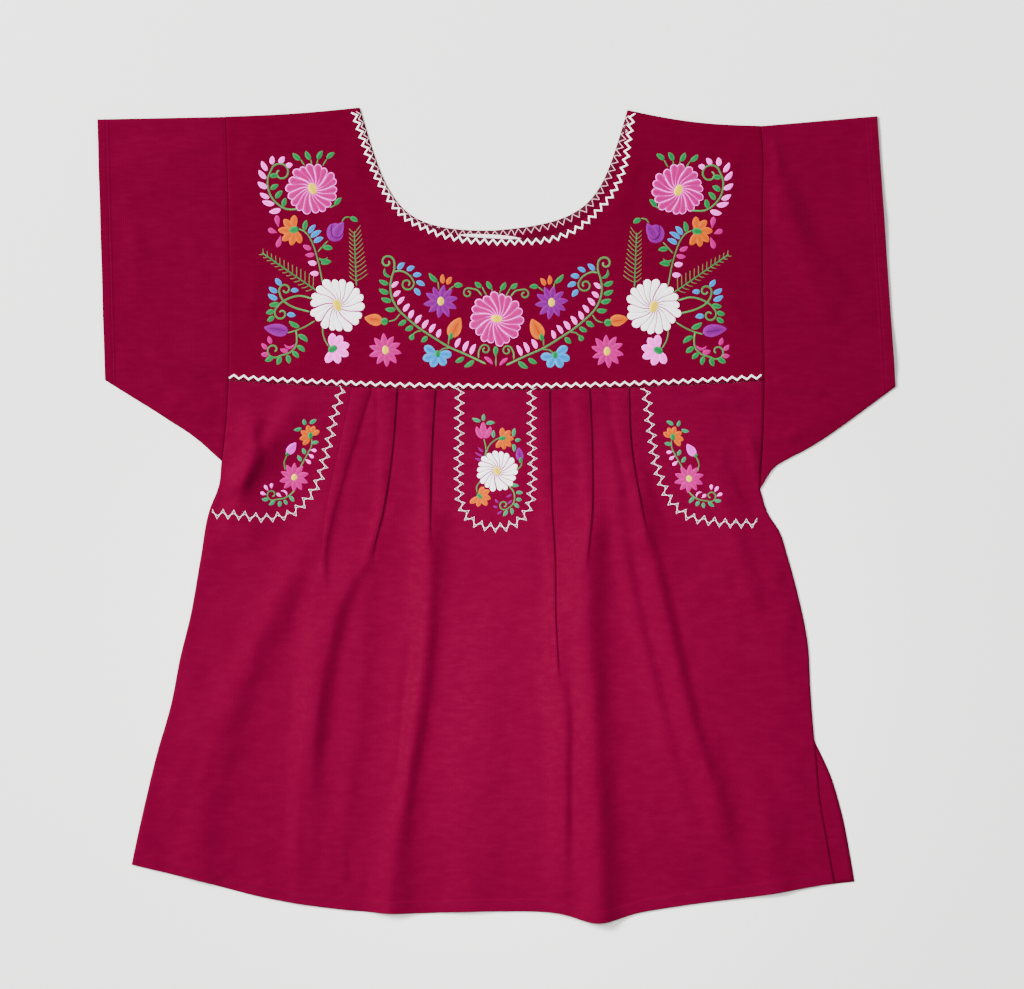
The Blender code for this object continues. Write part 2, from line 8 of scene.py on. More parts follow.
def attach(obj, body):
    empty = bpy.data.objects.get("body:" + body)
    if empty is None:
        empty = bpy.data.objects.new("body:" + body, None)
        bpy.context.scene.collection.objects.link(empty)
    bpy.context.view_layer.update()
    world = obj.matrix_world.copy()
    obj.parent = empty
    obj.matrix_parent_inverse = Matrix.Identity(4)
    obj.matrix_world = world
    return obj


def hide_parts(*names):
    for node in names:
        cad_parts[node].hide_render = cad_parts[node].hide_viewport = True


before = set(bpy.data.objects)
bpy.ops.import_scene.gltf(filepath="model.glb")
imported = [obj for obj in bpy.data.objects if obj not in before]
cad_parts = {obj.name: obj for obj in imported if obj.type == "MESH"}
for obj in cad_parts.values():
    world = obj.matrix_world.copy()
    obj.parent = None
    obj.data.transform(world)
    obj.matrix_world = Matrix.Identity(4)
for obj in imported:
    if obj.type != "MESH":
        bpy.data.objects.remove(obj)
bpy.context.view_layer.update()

# Embroidered cotton blouse, laid flat with its front up.
# Sizes are in millimetres until a mesh is made, with the neck towards +Y.
for thing in bpy.context.selected_objects:
    thing.select_set(False)
mm = 0.001
random = np.random.default_rng(7)
print("frame loaded:", sorted(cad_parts))

# Camera straight above, and the frame that places in the photograph are given in
photo = {"pixel": 0.8, "middleX": 496.5, "middleY": 515.0, "wide": 1024, "high": 989}
cameraSet = {"distance": 3.0, "sensor": 36.0}


def spot(px, py):
    # A place in the photograph's frame of 1024 by 989, as millimetres on the cloth
    return np.array([(px - photo["middleX"]) * photo["pixel"], (photo["middleY"] - py) * photo["pixel"]])


def makeCamera():
    middle = spot(photo["wide"] / 2, photo["high"] / 2) * mm
    data = bpy.data.cameras.new("camera")
    data.sensor_width = cameraSet["sensor"]
    field = photo["wide"] * photo["pixel"] * mm
    data.lens = cameraSet["sensor"] * cameraSet["distance"] / field
    camera = bpy.data.objects.new("camera", data)
    camera.location = (middle[0], middle[1], cameraSet["distance"])
    bpy.context.scene.collection.objects.link(camera)
    bpy.context.scene.camera = camera


makeCamera()
print("camera placed")


# Shared helpers
def ease(low, high, at):
    t = np.clip((np.asarray(at, dtype=float) - low) / (high - low), 0.0, 1.0)
    return t * t * (3 - 2 * t)


def cubic(t, start, startSlope, end, endSlope):
    # A cubic curve between two values with their slopes
    return ((1 + 2 * t) * (1 - t) ** 2 * start + t * (1 - t) ** 2 * startSlope
            + t * t * (3 - 2 * t) * end + t * t * (t - 1) * endSlope)


def smoothThrough(places, values, at):
    # Cubic curve through a table, with each slope taken from the neighbours
    places = np.asarray(places, dtype=float)
    values = np.asarray(values, dtype=float)
    if places[0] > places[-1]:
        places = places[::-1]
        values = values[::-1]
    slopes = np.gradient(values, places)
    at = np.clip(np.asarray(at, dtype=float), places[0], places[-1])
    step = np.clip(np.searchsorted(places, at, side="right") - 1, 0, len(places) - 2)
    width = places[step + 1] - places[step]
    t = (at - places[step]) / width
    return cubic(t, values[step], width * slopes[step], values[step + 1], width * slopes[step + 1])


def evenPath(points, count):
    # A path walked at even steps
    points = np.asarray(points, dtype=float)
    length = np.r_[0.0, np.cumsum(np.linalg.norm(np.diff(points, axis=0), axis=1))]
    at = np.linspace(0.0, length[-1], count)
    return np.column_stack([np.interp(at, length, points[:, axis]) for axis in range(points.shape[1])])


def roundedPath(points, count):
    # A smooth path through a few points
    points = np.asarray(points, dtype=float)
    if len(points) < 3:
        return evenPath(points, count)
    length = np.r_[0.0, np.cumsum(np.linalg.norm(np.diff(points, axis=0), axis=1))]
    at = np.linspace(0.0, length[-1], 6 * count)
    return evenPath(np.column_stack([smoothThrough(length, points[:, axis], at) for axis in (0, 1)]), count)


def pathLength(points):
    return float(np.linalg.norm(np.diff(points, axis=0), axis=1).sum())


def headings(points):
    # The unit direction of a path at each of its points
    along = np.gradient(points, axis=0)
    return along / np.maximum(np.linalg.norm(along, axis=1), 1e-9)[:, None]


def leftOf(along):
    return np.column_stack([-along[:, 1], along[:, 0]])


def toLinear(hexColour):
    # sRGB hex to the linear colour that a shader takes
    parts = [int(hexColour[i:i + 2], 16) / 255 for i in (1, 3, 5)]
    return tuple(c / 12.92 if c <= 0.04045 else ((c + 0.055) / 1.055) ** 2.4 for c in parts) + (1.0,)


def addNode(tree, kind, settings=None, inputs=None):
    # Adds a node, sets it up, and links or sets its inputs
    node = tree.nodes.new("ShaderNode" + kind)
    for name, value in (settings or {}).items():
        setattr(node, name, value)
    for name, value in (inputs or {}).items():
        if isinstance(value, bpy.types.NodeSocket):
            tree.links.new(value, node.inputs[name])
        else:
            node.inputs[name].default_value = value
    return node


def newMaterial(name):
    material = bpy.data.materials.new(name)
    material.use_nodes = True
    material.node_tree.nodes.clear()
    return material, material.node_tree


def finishPiece(name, verts, faces, material, replaced=()):
    # Makes the mesh in metres, at the origin, smooth, riding on the one body
    mesh = bpy.data.meshes.new(name)
    mesh.from_pydata([tuple(v) for v in (np.asarray(verts) * mm)], [], [tuple(f) for f in faces])
    mesh.validate()
    mesh.shade_smooth()
    mesh.materials.append(material)
    piece = bpy.data.objects.new(name, mesh)
    bpy.context.scene.collection.objects.link(piece)
    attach(piece, "root")
    if replaced:
        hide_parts(*replaced)
    return piece


def shellFaces(rows, columns, ring=False):
    # Faces of a closed cloth shell over two matching grids, upper points first
    index = np.arange(rows * columns).reshape(rows, columns)
    if ring:
        index = np.hstack([index, index[:, :1]])
    lower = index + rows * columns
    upperFaces = np.stack([index[:-1, :-1], index[1:, :-1], index[1:, 1:], index[:-1, 1:]], axis=2)
    lowerFaces = np.stack([lower[:-1, :-1], lower[:-1, 1:], lower[1:, 1:], lower[1:, :-1]], axis=2)
    first = np.stack([index[0, :-1], index[0, 1:], lower[0, 1:], lower[0, :-1]], axis=1)
    last = np.stack([index[-1, 1:], index[-1, :-1], lower[-1, :-1], lower[-1, 1:]], axis=1)
    faces = [upperFaces.reshape(-1, 4), lowerFaces.reshape(-1, 4), first, last]
    if not ring:
        faces.append(np.stack([index[1:, 0], index[:-1, 0], lower[:-1, 0], lower[1:, 0]], axis=1))
        faces.append(np.stack([index[:-1, -1], index[1:, -1], lower[1:, -1], lower[:-1, -1]], axis=1))
    return np.vstack(faces)


def finishShell(name, top, under, material, replaced):
    # A closed cloth shell between two matching grids of points
    verts = np.vstack([top.reshape(-1, 3), under.reshape(-1, 3)])
    return finishPiece(name, verts, shellFaces(*top.shape[:2]), material, replaced)


def hemRelief(fromEdge, piece):
    # A turned-up hem's extra thickness, less the groove that its stitching draws in
    fold = piece["hemThick"] * ease(piece["hemFold"] + piece["hemStep"], piece["hemFold"] - 0.4, fromEdge)
    toGroove = (fromEdge - piece["hemFold"] + piece["grooveIn"]) / piece["grooveReach"]
    return fold - piece["hemGroove"] * np.exp(-toGroove ** 2)


# Blender's wave texture at scale 1 repeats every 0.314 of a unit
waveLength = 0.314

# Cotton, plain woven and piece dyed: matt, with faint slubs and a soft bloom where light grazes it
cottonSet = {
    "thread": 1.7,        # real threads are 0.35 mm apart, drawn coarser so that the weave shows at all
    "threadDepth": 0.25,
    "threadWander": 0.6,
    "slub": 3.6,
    "slubStretch": 0.3,   # slubs run along the weft
    "slubShare": 0.6,
    "mottle": 60.0,
    "rumple": 9.0,
    "rumpleDepth": 0.7,
    "roughness": 0.9,
    "specular": 0.005,    # dyed this deep, the cloth gives back almost no white light
    "sheen": 0.03,
    "sheenColour": "#ff1040",
}


def makeCotton(name, hexColour, deepHex, paleHex):
    material, tree = newMaterial(name)
    place = addNode(tree, "TexCoord").outputs["Object"]
    warp, weft = [addNode(tree, "TexWave", {"wave_type": "BANDS", "bands_direction": way},
                          {"Vector": place, "Scale": waveLength / (cottonSet["thread"] * mm),
                           "Distortion": cottonSet["threadWander"], "Detail": 1.0, "Detail Scale": 4.0})
                  for way in ("X", "Y")]
    weave = addNode(tree, "Math", {"operation": "ADD"},
                    {0: warp.outputs["Fac"], 1: weft.outputs["Fac"]})
    drawn = addNode(tree, "Mapping", None,
                    {"Vector": place, "Scale": (cottonSet["slubStretch"], 1.0, 1.0)})
    slub = addNode(tree, "TexNoise", None,
                   {"Vector": drawn.outputs["Vector"], "Scale": 1 / (cottonSet["slub"] * mm), "Detail": 4.0,
                    "Roughness": 0.65})
    mottle = addNode(tree, "TexNoise", None,
                     {"Vector": place, "Scale": 1 / (cottonSet["mottle"] * mm), "Detail": 3.0})
    rumple = addNode(tree, "TexNoise", None,
                     {"Vector": place, "Scale": 1 / (cottonSet["rumple"] * mm), "Detail": 2.0})
    deep = addNode(tree, "Mix", {"data_type": "RGBA"},
                   {"Factor": mottle.outputs["Fac"], "A": toLinear(deepHex), "B": toLinear(hexColour)})
    dotted = addNode(tree, "MapRange", None,
                     {"Value": slub.outputs["Fac"], "From Min": 0.40, "From Max": 0.75,
                      "To Max": cottonSet["slubShare"]})
    colour = addNode(tree, "Mix", {"data_type": "RGBA"},
                     {"Factor": dotted.outputs["Result"], "A": deep.outputs["Result"],
                      "B": toLinear(paleHex)})
    rough = addNode(tree, "Bump", None,
                    {"Height": rumple.outputs["Fac"], "Strength": 0.25,
                     "Distance": cottonSet["rumpleDepth"] * mm})
    bump = addNode(tree, "Bump", None,
                   {"Height": weave.outputs["Value"], "Strength": 0.22,
                    "Distance": cottonSet["threadDepth"] * mm, "Normal": rough.outputs["Normal"]})
    shader = addNode(tree, "BsdfPrincipled", None,
                     {"Base Color": colour.outputs["Result"], "Normal": bump.outputs["Normal"],
                      "Roughness": cottonSet["roughness"], "Sheen Weight": cottonSet["sheen"],
                      "Sheen Roughness": 0.5, "Sheen Tint": toLinear(cottonSet["sheenColour"]), "IOR": 1.5,
                      "Specular IOR Level": cottonSet["specular"]})
    addNode(tree, "OutputMaterial", None, {"Surface": shader.outputs["BSDF"]})
    return material


# The same cotton in three copies: the body's lighter colour is painted sheen, from its weave running down,
# and the darker yoke and sleeve colours are painted shade, from their weave running across.
bodyCotton = makeCotton("cottonBodyCrimsonPaintedSheen", "#530320", "#4f021d", "#590524")
yokeCotton = makeCotton("cottonYokeCrimsonPaintedShade", "#4e021b", "#4b0219", "#53041e")
sleeveCotton = makeCotton("cottonSleeveCrimsonPaintedShade", "#51031e", "#4e021c", "#560521")
# The back yoke shows only inside the neck opening, and its darker maroon is painted shade.
backYokePaintedShadeCotton = makeCotton("cottonBackYokeMaroonPaintedShade", "#48031a", "#440218", "#4e051e")
print("cotton made")

# The cut of the body: the same sizes as the solids under it
cloth = {"halfWall": 0.45, "gap": 0.3, "seamLine": 0.04, "layer": 1.3, "pleatLayer": 0.8,
         "pleatHalfWall": 0.27, "panelMiddle": 1.42, "backMiddle": 0.5, "frontMiddle": 1.8}
yokeSeam = {"middleY": 100.2, "bow": 7.0, "half": 205.0}
armhole = {
    "y": (317.4, 290.0, 252.0, 208.0, 165.0, 112.0, 60.0, 43.0, 20.6),
    "left": (-216.6, -215.5, -214.6, -213.7, -213.5, -214.4, -217.8, -220.0, -223.4),
    "right": (210.8, 213.2, 213.0, 212.8, 213.4, 214.2, 213.2, 212.2, 210.8),
}
sideSeam = {
    "left": {"y": (43.0, 24.0, 4.0, -34.0, -81.0, -114.0, -151.0, -191.0, -231.0, -262.0, -300.0),
             "x": (-220.0, -222.0, -229.6, -236.6, -244.9, -253.0, -260.2, -271.6, -281.3, -288.2, -296.0)},
    "right": {"y": (20.6, 0.0, -12.6, -32.0, -64.0, -105.0, -135.0, -171.0, -191.0, -231.0, -262.0, -300.0),
              "x": (210.8, 217.8, 226.0, 232.4, 241.1, 249.2, 250.8, 253.4, 255.4, 259.0, 264.6, 271.0)},
}
backSlit = {"y": (-181.0, -206.0, -236.0, -270.0, -300.0), "x": (254.6, 266.4, 275.6, 282.5, 287.4)}
hem = {
    "x": (-296.0, -250.0, -181.0, -91.0, 0.0, 50.0, 82.0, 113.0, 145.0, 214.0, 271.0, 290.0),
    "front": (-279.6, -290.0, -307.0, -318.0, -317.0, -318.6, -325.8, -318.4, -313.0, -304.0, -294.6,
              -292.0),
    "back": (-279.0, -289.0, -305.0, -314.0, -314.0, -313.0, -312.0, -311.0, -309.0, -302.0, -295.0,
             -293.0),
}
corner = {
    "shoulderLeft": (-216.6, 318.6), "shoulderRight": (210.8, 311.2),
    "armpitLeft": (-220.0, 43.0), "armpitRight": (210.8, 20.6),
    "cuffTopLeft": (-319.1, 316.6), "cuffLowLeft": (-313.0, 107.6),
    "cuffTopRight": (304.4, 319.2), "cuffLowRight": (319.1, 102.4),
}
neck = {
    "steps": 60,
    "shoulderLeft": (-109.6, 325.8), "shoulderRight": (104.6, 323.8),
    "front": ((-2.0, 221.2), (-78.5, 223.0), (-90.0, 254.5), (71.0, 215.8), (100.5, 252.0)),
    "back": ((-2.0, 227.7), (-86.1, 225.7), (-86.8, 254.9), (78.7, 234.0), (83.3, 250.5)),
}


def seamY(x):
    return yokeSeam["middleY"] + yokeSeam["bow"] * (np.asarray(x, dtype=float) / yokeSeam["half"]) ** 2


def hemY(x, side):
    return smoothThrough(hem["x"], hem[side], x)


def bodyEdge(side, y):
    armpit = corner["armpitLeft" if side == "left" else "armpitRight"]
    above = smoothThrough(armhole["y"], armhole[side], y)
    below = smoothThrough(sideSeam[side]["y"], sideSeam[side]["x"], y)
    return np.where(np.asarray(y, dtype=float) > armpit[1], above, below)


def panelY(share, topX, lowX, side):
    return (1 - share) * (seamY(topX) - cloth["gap"] / 2) + share * hemY(lowX, side)


def neckLine(side):
    # The neck edge from the left shoulder to the right, as two cubic curves
    middle, leftA, leftB, rightA, rightB = [np.array(p) for p in neck[side]]
    t = np.linspace(0.0, 1.0, neck["steps"])[:, None]
    halves = []
    for first, second, shoulder in ((leftA, leftB, "shoulderLeft"), (rightA, rightB, "shoulderRight")):
        end = np.array(neck[shoulder])
        halves.append((1 - t) ** 3 * middle + 3 * t * (1 - t) ** 2 * first
                      + 3 * t * t * (1 - t) * second + t ** 3 * end)
    return np.vstack([halves[0][::-1], halves[1][1:]])


def insideSides(x, y):
    # How far a place lies in from the nearer side edge
    return np.minimum(x - bodyEdge("left", y), bodyEdge("right", y) - x)


creaseSet = {"points": 22, "taper": 0.3}


# Soft creases: the path of the crest, how high it stands, and its reach each side.
# A negative height is a trough.
def creaseLift(x, y, creases):
    lift = np.zeros(np.shape(x))
    for path, height, reachLeft, reachRight in creases:
        points = roundedPath(path, creaseSet["points"])
        best = np.full(np.shape(x), np.inf)
        side = np.zeros(np.shape(x))
        along = np.zeros(np.shape(x))
        for i in range(len(points) - 1):
            step = points[i + 1] - points[i]
            size = float(np.hypot(*step))
            t = ((x - points[i][0]) * step[0] + (y - points[i][1]) * step[1]) / size ** 2
            clamped = np.clip(t, 0.0, 1.0)
            dx = x - points[i][0] - clamped * step[0]
            dy = y - points[i][1] - clamped * step[1]
            away = np.hypot(dx, dy)
            nearer = away < best
            best = np.where(nearer, away, best)
            side = np.where(nearer, step[0] * dy - step[1] * dx, side)
            along = np.where(nearer, (i + clamped) / (len(points) - 1), along)
        reach = np.where(side > 0, reachRight, reachLeft)
        taper = ease(0.0, creaseSet["taper"], along) * ease(1.0, 1 - creaseSet["taper"], along)
        lift += height * taper * np.exp(-(best / reach) ** 2)
    return lift


# Each wave wanders sideways by a share of its length, and swells and sinks along its crest
rippleSet = {"wander": 0.35, "wanderPace": 2.1, "wanderPhase": 1.7, "swell": 0.4, "swellPace": 1.3}


def ripple(x, y, waves):
    # Slow uneven waves in the cloth: amplitude, wavelength, direction in degrees, phase
    lift = np.zeros(np.shape(x))
    for size, length, turn, phase in waves:
        a = math.radians(turn)
        run = x * math.cos(a) + y * math.sin(a)
        cross = -x * math.sin(a) + y * math.cos(a)
        wanders = np.sin(cross / length * rippleSet["wanderPace"] + phase * rippleSet["wanderPhase"])
        swells = np.sin(cross / length * rippleSet["swellPace"] + phase)
        wave = np.sin(2 * math.pi * (run + rippleSet["wander"] * length * wanders) / length + phase)
        lift += size * wave * (1 - rippleSet["swell"] + rippleSet["swell"] * swells)
    return lift


# Front panel: six knife pleats held under the yoke, opening into long soft folds
foldHeights = (100.0, 55.0, 10.0, -35.0, -80.0, -130.0, -185.0, -240.0, -300.0)
foldNames = ("crest", "lift", "reachLeft", "reachRight", "starts", "full", "fades", "ends",
             "faces", "underlap", "lastClosed")
pleats = {
    "leftOuter": ((-115.2, -125.2, -134.8, -140.4, -143.6, -148.0, -154.0, -157.0, -158.0),
                  3.6, 9.0, 20.0, 20.0, -70.0, -220.0, -360.0, -1, 12.2, 7),
    "leftMiddle": ((-79.8, -83.2, -89.6, -99.6, -106.0, -111.0, -116.6, -121.4, -124.6),
                   2.6, 17.0, 12.0, 30.0, -60.0, -200.0, -340.0, 1, 12.2, 6),
    "leftInner": ((-49.2, -52.0, -53.2, -52.8, -54.8, -60.4, -68.4, -76.4, -85.0),
                  7.0, 12.0, 14.0, 40.0, -40.0, -330.0, -500.0, 1, 12.2, 5),
    "rightInner": ((42.3, 42.8, 44.0, 46.4, 47.0, 50.0, 53.0, 54.0, 54.0),
                   4.5, 12.0, 9.0, -50.0, -110.0, -220.0, -420.0, 1, 12.2, 11),
    "rightMiddle": ((74.2, 76.2, 76.4, 73.0, 71.0, 73.4, 76.6, 79.8, 81.4),
                    9.5, 17.0, 14.0, 45.0, -30.0, -330.0, -500.0, 1, 12.2, 6),
    "rightOuter": ((105.6, 107.6, 115.0, 125.6, 135.6, 147.6, 162.0, 178.0, 190.0),
                   5.5, 14.0, 11.0, 60.0, 0.0, -200.0, -330.0, 1, 12.2, 5),
}
softFolds = {
    "rightDrag": ((84.0, 90.0, 97.0, 104.0, 112.6, 124.6, 139.0, 152.0, 160.0),
                  3.6, 8.0, 8.0, 90.0, 20.0, -180.0, -290.0, 0, 0.0, 0),
    "rightSide": ((160.0, 175.0, 188.0, 200.0, 216.0, 232.0, 240.0, 246.0, 250.0),
                  4.6, 14.0, 11.0, 80.0, 10.0, -60.0, -150.0, 0, 0.0, 0),
    "leftArmpit": ((-146.0, -183.0, -205.0, -222.0, -230.0, -236.0, -240.0, -245.0, -250.0),
                   6.0, 12.0, 16.0, 98.0, 50.0, 20.0, -30.0, 0, 0.0, 0),
    "leftSide": ((-140.0, -142.0, -146.0, -158.0, -180.0, -203.0, -216.0, -226.0, -232.0),
                 4.6, 14.0, 14.0, 30.0, -50.0, -130.0, -220.0, 0, 0.0, 0),
    "leftHem": ((-180.0, -185.0, -190.0, -200.0, -215.0, -222.0, -228.0, -235.0, -244.0),
                3.4, 16.0, 16.0, -110.0, -190.0, -330.0, -500.0, 0, 0.0, 0),
    "rightHem": ((180.0, 184.0, 188.0, 194.0, 200.0, 206.0, 212.0, 218.0, 224.0),
                 3.0, 16.0, 16.0, -150.0, -230.0, -330.0, -500.0, 0, 0.0, 0),
    "centre": ((-4.0, -4.0, -4.0, -4.0, -6.0, -8.0, -12.0, -16.0, -22.0),
               2.6, 18.0, 18.0, -40.0, -130.0, -330.0, -500.0, 0, 0.0, 0),
}
pleatShape = {
    "least": 2.2, "slope": 4.0, "shoulder": 0.8,
    "closedLayers": (0.0, 2.0, 2.0, 1.73, 1.27, 1.0, 1.0, 0.73, 0.27, 0.0),
    "openingPlaces": ((-6.4, -2.8, -1.3, -0.5, -0.1, 0.1, 0.1, 0.2, 0.6, 1.4),
                      (-9.0, -5.2, -3.4, -2.2, -1.2, -0.3, 0.6, 1.5, 2.6, 4.0),
                      (-10.5, -8.2, -5.8, -3.5, -1.2, 1.2, 3.5, 5.8, 8.2, 10.5)),
    "openingHeights": ((0.0, 2.6, 2.6, 2.45, 2.0, 1.5, 1.0, 0.55, 0.12, 0.0),
                       (0.0, 1.7, 2.1, 2.0, 1.7, 1.3, 0.9, 0.5, 0.15, 0.0),
                       (0.0,) * 10),
}
# The stitching that holds the panel's edges down, and what the cloth does beside it, in mm
panelSet = {
    "hemFold": 9.0, "hemStep": 0.9, "hemThick": 0.45, "hemGroove": 0.18, "grooveIn": 1.6, "grooveReach": 0.8,
    "sink": 0.25, "sinkLess": 0.2,                     # cloth never sinks into the layer below it
    "sewnLeft": 0.15, "sewnRight": 0.075, "sewnReach": 3.5,
    "pucker": 0.5, "puckerLength": 5.3, "puckerSink": 0.2, "puckerReach": 16.0,
    "slitDrop": 0.2, "slitReach": 10.0,                # beside the open slit the front lies on the back
}
panelGrid = {
    "upper": (0.0, 0.03, 0.075, 0.12),
    "lower": (0.25, 0.29, 0.33, 0.37, 0.41, 0.455, 0.505, 0.56, 0.62, 0.68, 0.74, 0.80, 0.86,
              0.92, 0.975, 1.0),
    "plain": (10, 2, 2, 6, 2, 3, 9),
    "plainSteps": 4, "pleatSteps": 3, "rows": 138, "length": 420.0,
    "hemRows": (10.5, 9.6, 8.8, 8.0, 6.0, 4.0, 2.0, 0.8),
    "edgeFade": 22.0, "topFade": 26.0, "creaseEdgeFade": 7.0, "creaseTopFade": 9.0,
}
panelCreases = (
    (((-186, 86), (-194, 68), (-196, 46), (-205, 26), (-216, 10)), 9.0, 11.0, 7.6),
    (((-150, 96), (-168, 84), (-180, 66), (-184, 44)), 2.2, 7.0, 9.0),
    (((-214, 40), (-211, 26), (-214, 12)), 1.6, 4.0, 4.0),
    (((-98, 4), (-110, -34), (-126, -72), (-139, -124), (-147, -184), (-151, -250)), 5.0, 15.0, 8.5),
    (((-200, -22), (-222, -62), (-252, -112)), -2.4, 10.0, 8.0),
    (((-168, 40), (-190, 0), (-214, -40)), 1.8, 12.0, 10.0),
    (((-130, 60), (-150, 20), (-168, -30)), -1.6, 10.0, 12.0),
    (((-84, 21), (-72, 26), (-62, 29)), -1.3, 4.0, 4.0),
    (((-100, 44), (-92, 26), (-84, 10)), 1.1, 6.0, 5.0),
    (((-68, 82), (-67, 40), (-70, -20)), -1.6, 7.0, 6.0),
    (((-62, -60), (-71, -132), (-80, -213), (-90, -262)), -2.6, 5.0, 6.0),
    (((-38, 26), (-44, -51), (-49, -123), (-62, -213), (-77, -306)), -2.4, 7.0, 9.0),
    (((-26, -80), (-24, -180), (-34, -290)), 1.4, 12.0, 10.0),
    (((8, 70), (12, 0), (6, -90)), -1.0, 16.0, 14.0),
    (((22, 96), (26, 60), (24, 20)), 0.9, 6.0, 7.0),
    (((53, 70), (60, 48), (66, 26)), -1.6, 4.0, 5.0),
    (((48, -100), (60, -140), (61, -213), (60, -300)), -2.2, 5.0, 6.0),
    (((30, -120), (34, -200), (30, -300)), -1.4, 12.0, 9.0),
    (((96, 26), (115, -63), (136, -153), (157, -242)), -2.0, 6.0, 6.0),
    (((122, 70), (128, 40), (140, 0), (152, -40)), -1.7, 8.0, 8.0),
    (((111, 42), (136, -51), (163, -165), (184, -236)), -2.2, 6.0, 6.0),
    (((150, 60), (160, 20), (176, -30), (196, -90)), 1.4, 8.0, 8.0),
    (((166, 72), (184, 26), (208, -48), (230, -117)), -2.4, 8.0, 7.0),
    (((187, 64), (198, 30), (212, 2)), -2.8, 7.0, 5.0),
    (((196, 76), (206, 48), (211, 22)), 2.0, 5.0, 5.0),
    (((216, -20), (226, -60), (240, -110)), 1.6, 8.0, 8.0),
    (((196, -120), (214, -190), (232, -270)), -1.4, 12.0, 10.0),
    (((-160, -120), (-172, -200), (-178, -290)), -1.6, 10.0, 12.0),
    (((-236, -120), (-250, -190), (-262, -262)), 1.3, 9.0, 12.0),
    (((-120, -250), (-112, -285), (-108, -312)), -1.4, 8.0, 8.0),
    (((170, 96), (184, 90), (202, 92)), 1.1, 5.0, 5.0),
)
panelRipples = ((0.34, 58.0, 8.0, 0.4), (0.26, 37.0, -14.0, 1.9), (0.18, 24.0, 22.0, 3.1),
                (0.15, 31.0, 80.0, 0.9), (0.10, 15.0, -35.0, 2.2))


def foldLift(x, y):
    # The same soft folds as on the solid panel
    lift = np.zeros(np.shape(x))
    for fold in list(pleats.values()) + list(softFolds.values()):
        row = dict(zip(foldNames, fold))
        away = x - smoothThrough(foldHeights, row["crest"], y)
        reach = np.where(away < 0, row["reachLeft"], row["reachRight"])
        strength = ease(row["starts"], row["full"], y) * (1 - ease(row["fades"], row["ends"], y))
        lift += row["lift"] * strength * np.exp(-(away / reach) ** 2)
    return lift


def panelRows():
    # Where the panel's sections lie, as shares of its length, with one at each armpit
    shares = []
    for armpit, low in ((corner["armpitLeft"], hem["front"][0]),
                        (corner["armpitRight"], hem["front"][-2])):
        top = float(seamY(armpit[0])) - cloth["gap"] / 2
        shares.append((top - armpit[1]) / (top - low))
    return np.array(panelGrid["upper"] + tuple(shares) + panelGrid["lower"])


def pleatSection(fold, number):
    # One pleat's centre line at a numbered section: over, round the edge, back under and on
    row = dict(zip(foldNames, fold))
    past = number - row["lastClosed"]
    turn = cloth["pleatLayer"] / 2
    least = pleatShape["least"]
    if past <= 0:
        under = least + (row["underlap"] - least) * (-past / row["lastClosed"])
        place = np.array([-under - pleatShape["slope"], -under - pleatShape["shoulder"], -turn, 0.0, 0.0,
                          -turn, -under + turn, -under, -under, -under + turn])
        height = np.array(pleatShape["closedLayers"]) * cloth["pleatLayer"]
    else:
        opened = min(past, 3) - 1
        place = np.array(pleatShape["openingPlaces"][opened])
        height = np.array(pleatShape["openingHeights"][opened]) * cloth["pleatLayer"] / cloth["layer"]
    if row["faces"] < 0:
        return -place[::-1], height[::-1]
    return place, height


def blendedPleat(fold, at, sections):
    # The pleat between two of its sections
    low = min(int(at), sections - 2)
    part = at - low
    placeA, heightA = pleatSection(fold, low)
    placeB, heightB = pleatSection(fold, low + 1)
    return placeA * (1 - part) + placeB * part, heightA * (1 - part) + heightB * part


def roundedRows(grid, steps):
    # Rounds every row of points, with each segment split into its own number of steps
    segment = np.diff(grid, axis=1)
    size = np.maximum(np.linalg.norm(segment, axis=2), 1e-9)[..., None]
    heading = segment / size
    tangent = np.concatenate([heading[:, :1], heading[:, :-1] + heading[:, 1:], heading[:, -1:]], axis=1)
    tangent /= np.maximum(np.linalg.norm(tangent, axis=2), 1e-9)[..., None]
    columns = []
    for i, count in enumerate(steps):
        for k in range(count):
            columns.append(cubic(k / count, grid[:, i], size[:, i] * tangent[:, i],
                                 grid[:, i + 1], size[:, i] * tangent[:, i + 1]))
    columns.append(grid[:, -1])
    return np.stack(columns, axis=1)


def anchorX(number, fold, y):
    if fold is not None:
        return float(smoothThrough(foldHeights, fold[0], y))
    return float(bodyEdge("left" if number == 0 else "right", y))


def frontGrid():
    # Middle surface of the front panel, before its soft folds are added
    anchors = [None] + list(pleats.values()) + [None]
    rowShares = panelRows()
    hemRows = 1 - np.array(panelGrid["hemRows"]) / panelGrid["length"]
    shares = np.unique(np.r_[np.linspace(0.0, 1.0, panelGrid["rows"]), rowShares[:6], hemRows])
    grid = []
    for share in shares:
        section = float(np.interp(share, rowShares, np.arange(len(rowShares))))
        edges = []
        for number, fold in enumerate(anchors):
            topX = anchorX(number, fold, foldHeights[0])
            lowX = anchorX(number, fold, foldHeights[-1])
            x = anchorX(number, fold, panelY(share, topX, lowX, "front"))
            place = height = np.zeros(1)
            if fold is not None:
                place, height = blendedPleat(fold, section, len(rowShares))
            across = panelY(share, topX + place, lowX + place, "front")
            edges.append((topX + place, lowX + place, x + place, across, height))
        row = []
        steps = []
        for number in range(len(edges) - 1):
            here = edges[number]
            beyond = edges[number + 1]
            row += list(zip(here[2], here[3], here[4]))
            steps += [panelGrid["pleatSteps"]] * (len(here[2]) - 1)
            count = panelGrid["plain"][number]
            for k in range(1, count + 1):
                f = k / (count + 1)
                topX = here[0][-1] * (1 - f) + beyond[0][0] * f
                lowX = here[1][-1] * (1 - f) + beyond[1][0] * f
                row.append((here[2][-1] * (1 - f) + beyond[2][0] * f,
                            float(panelY(share, topX, lowX, "front")), 0.0))
            steps += [panelGrid["plainSteps"]] * (count + 1)
        row.append((edges[-1][2][0], edges[-1][3][0], 0.0))
        grid.append(row)
    return roundedRows(np.array(grid), steps)


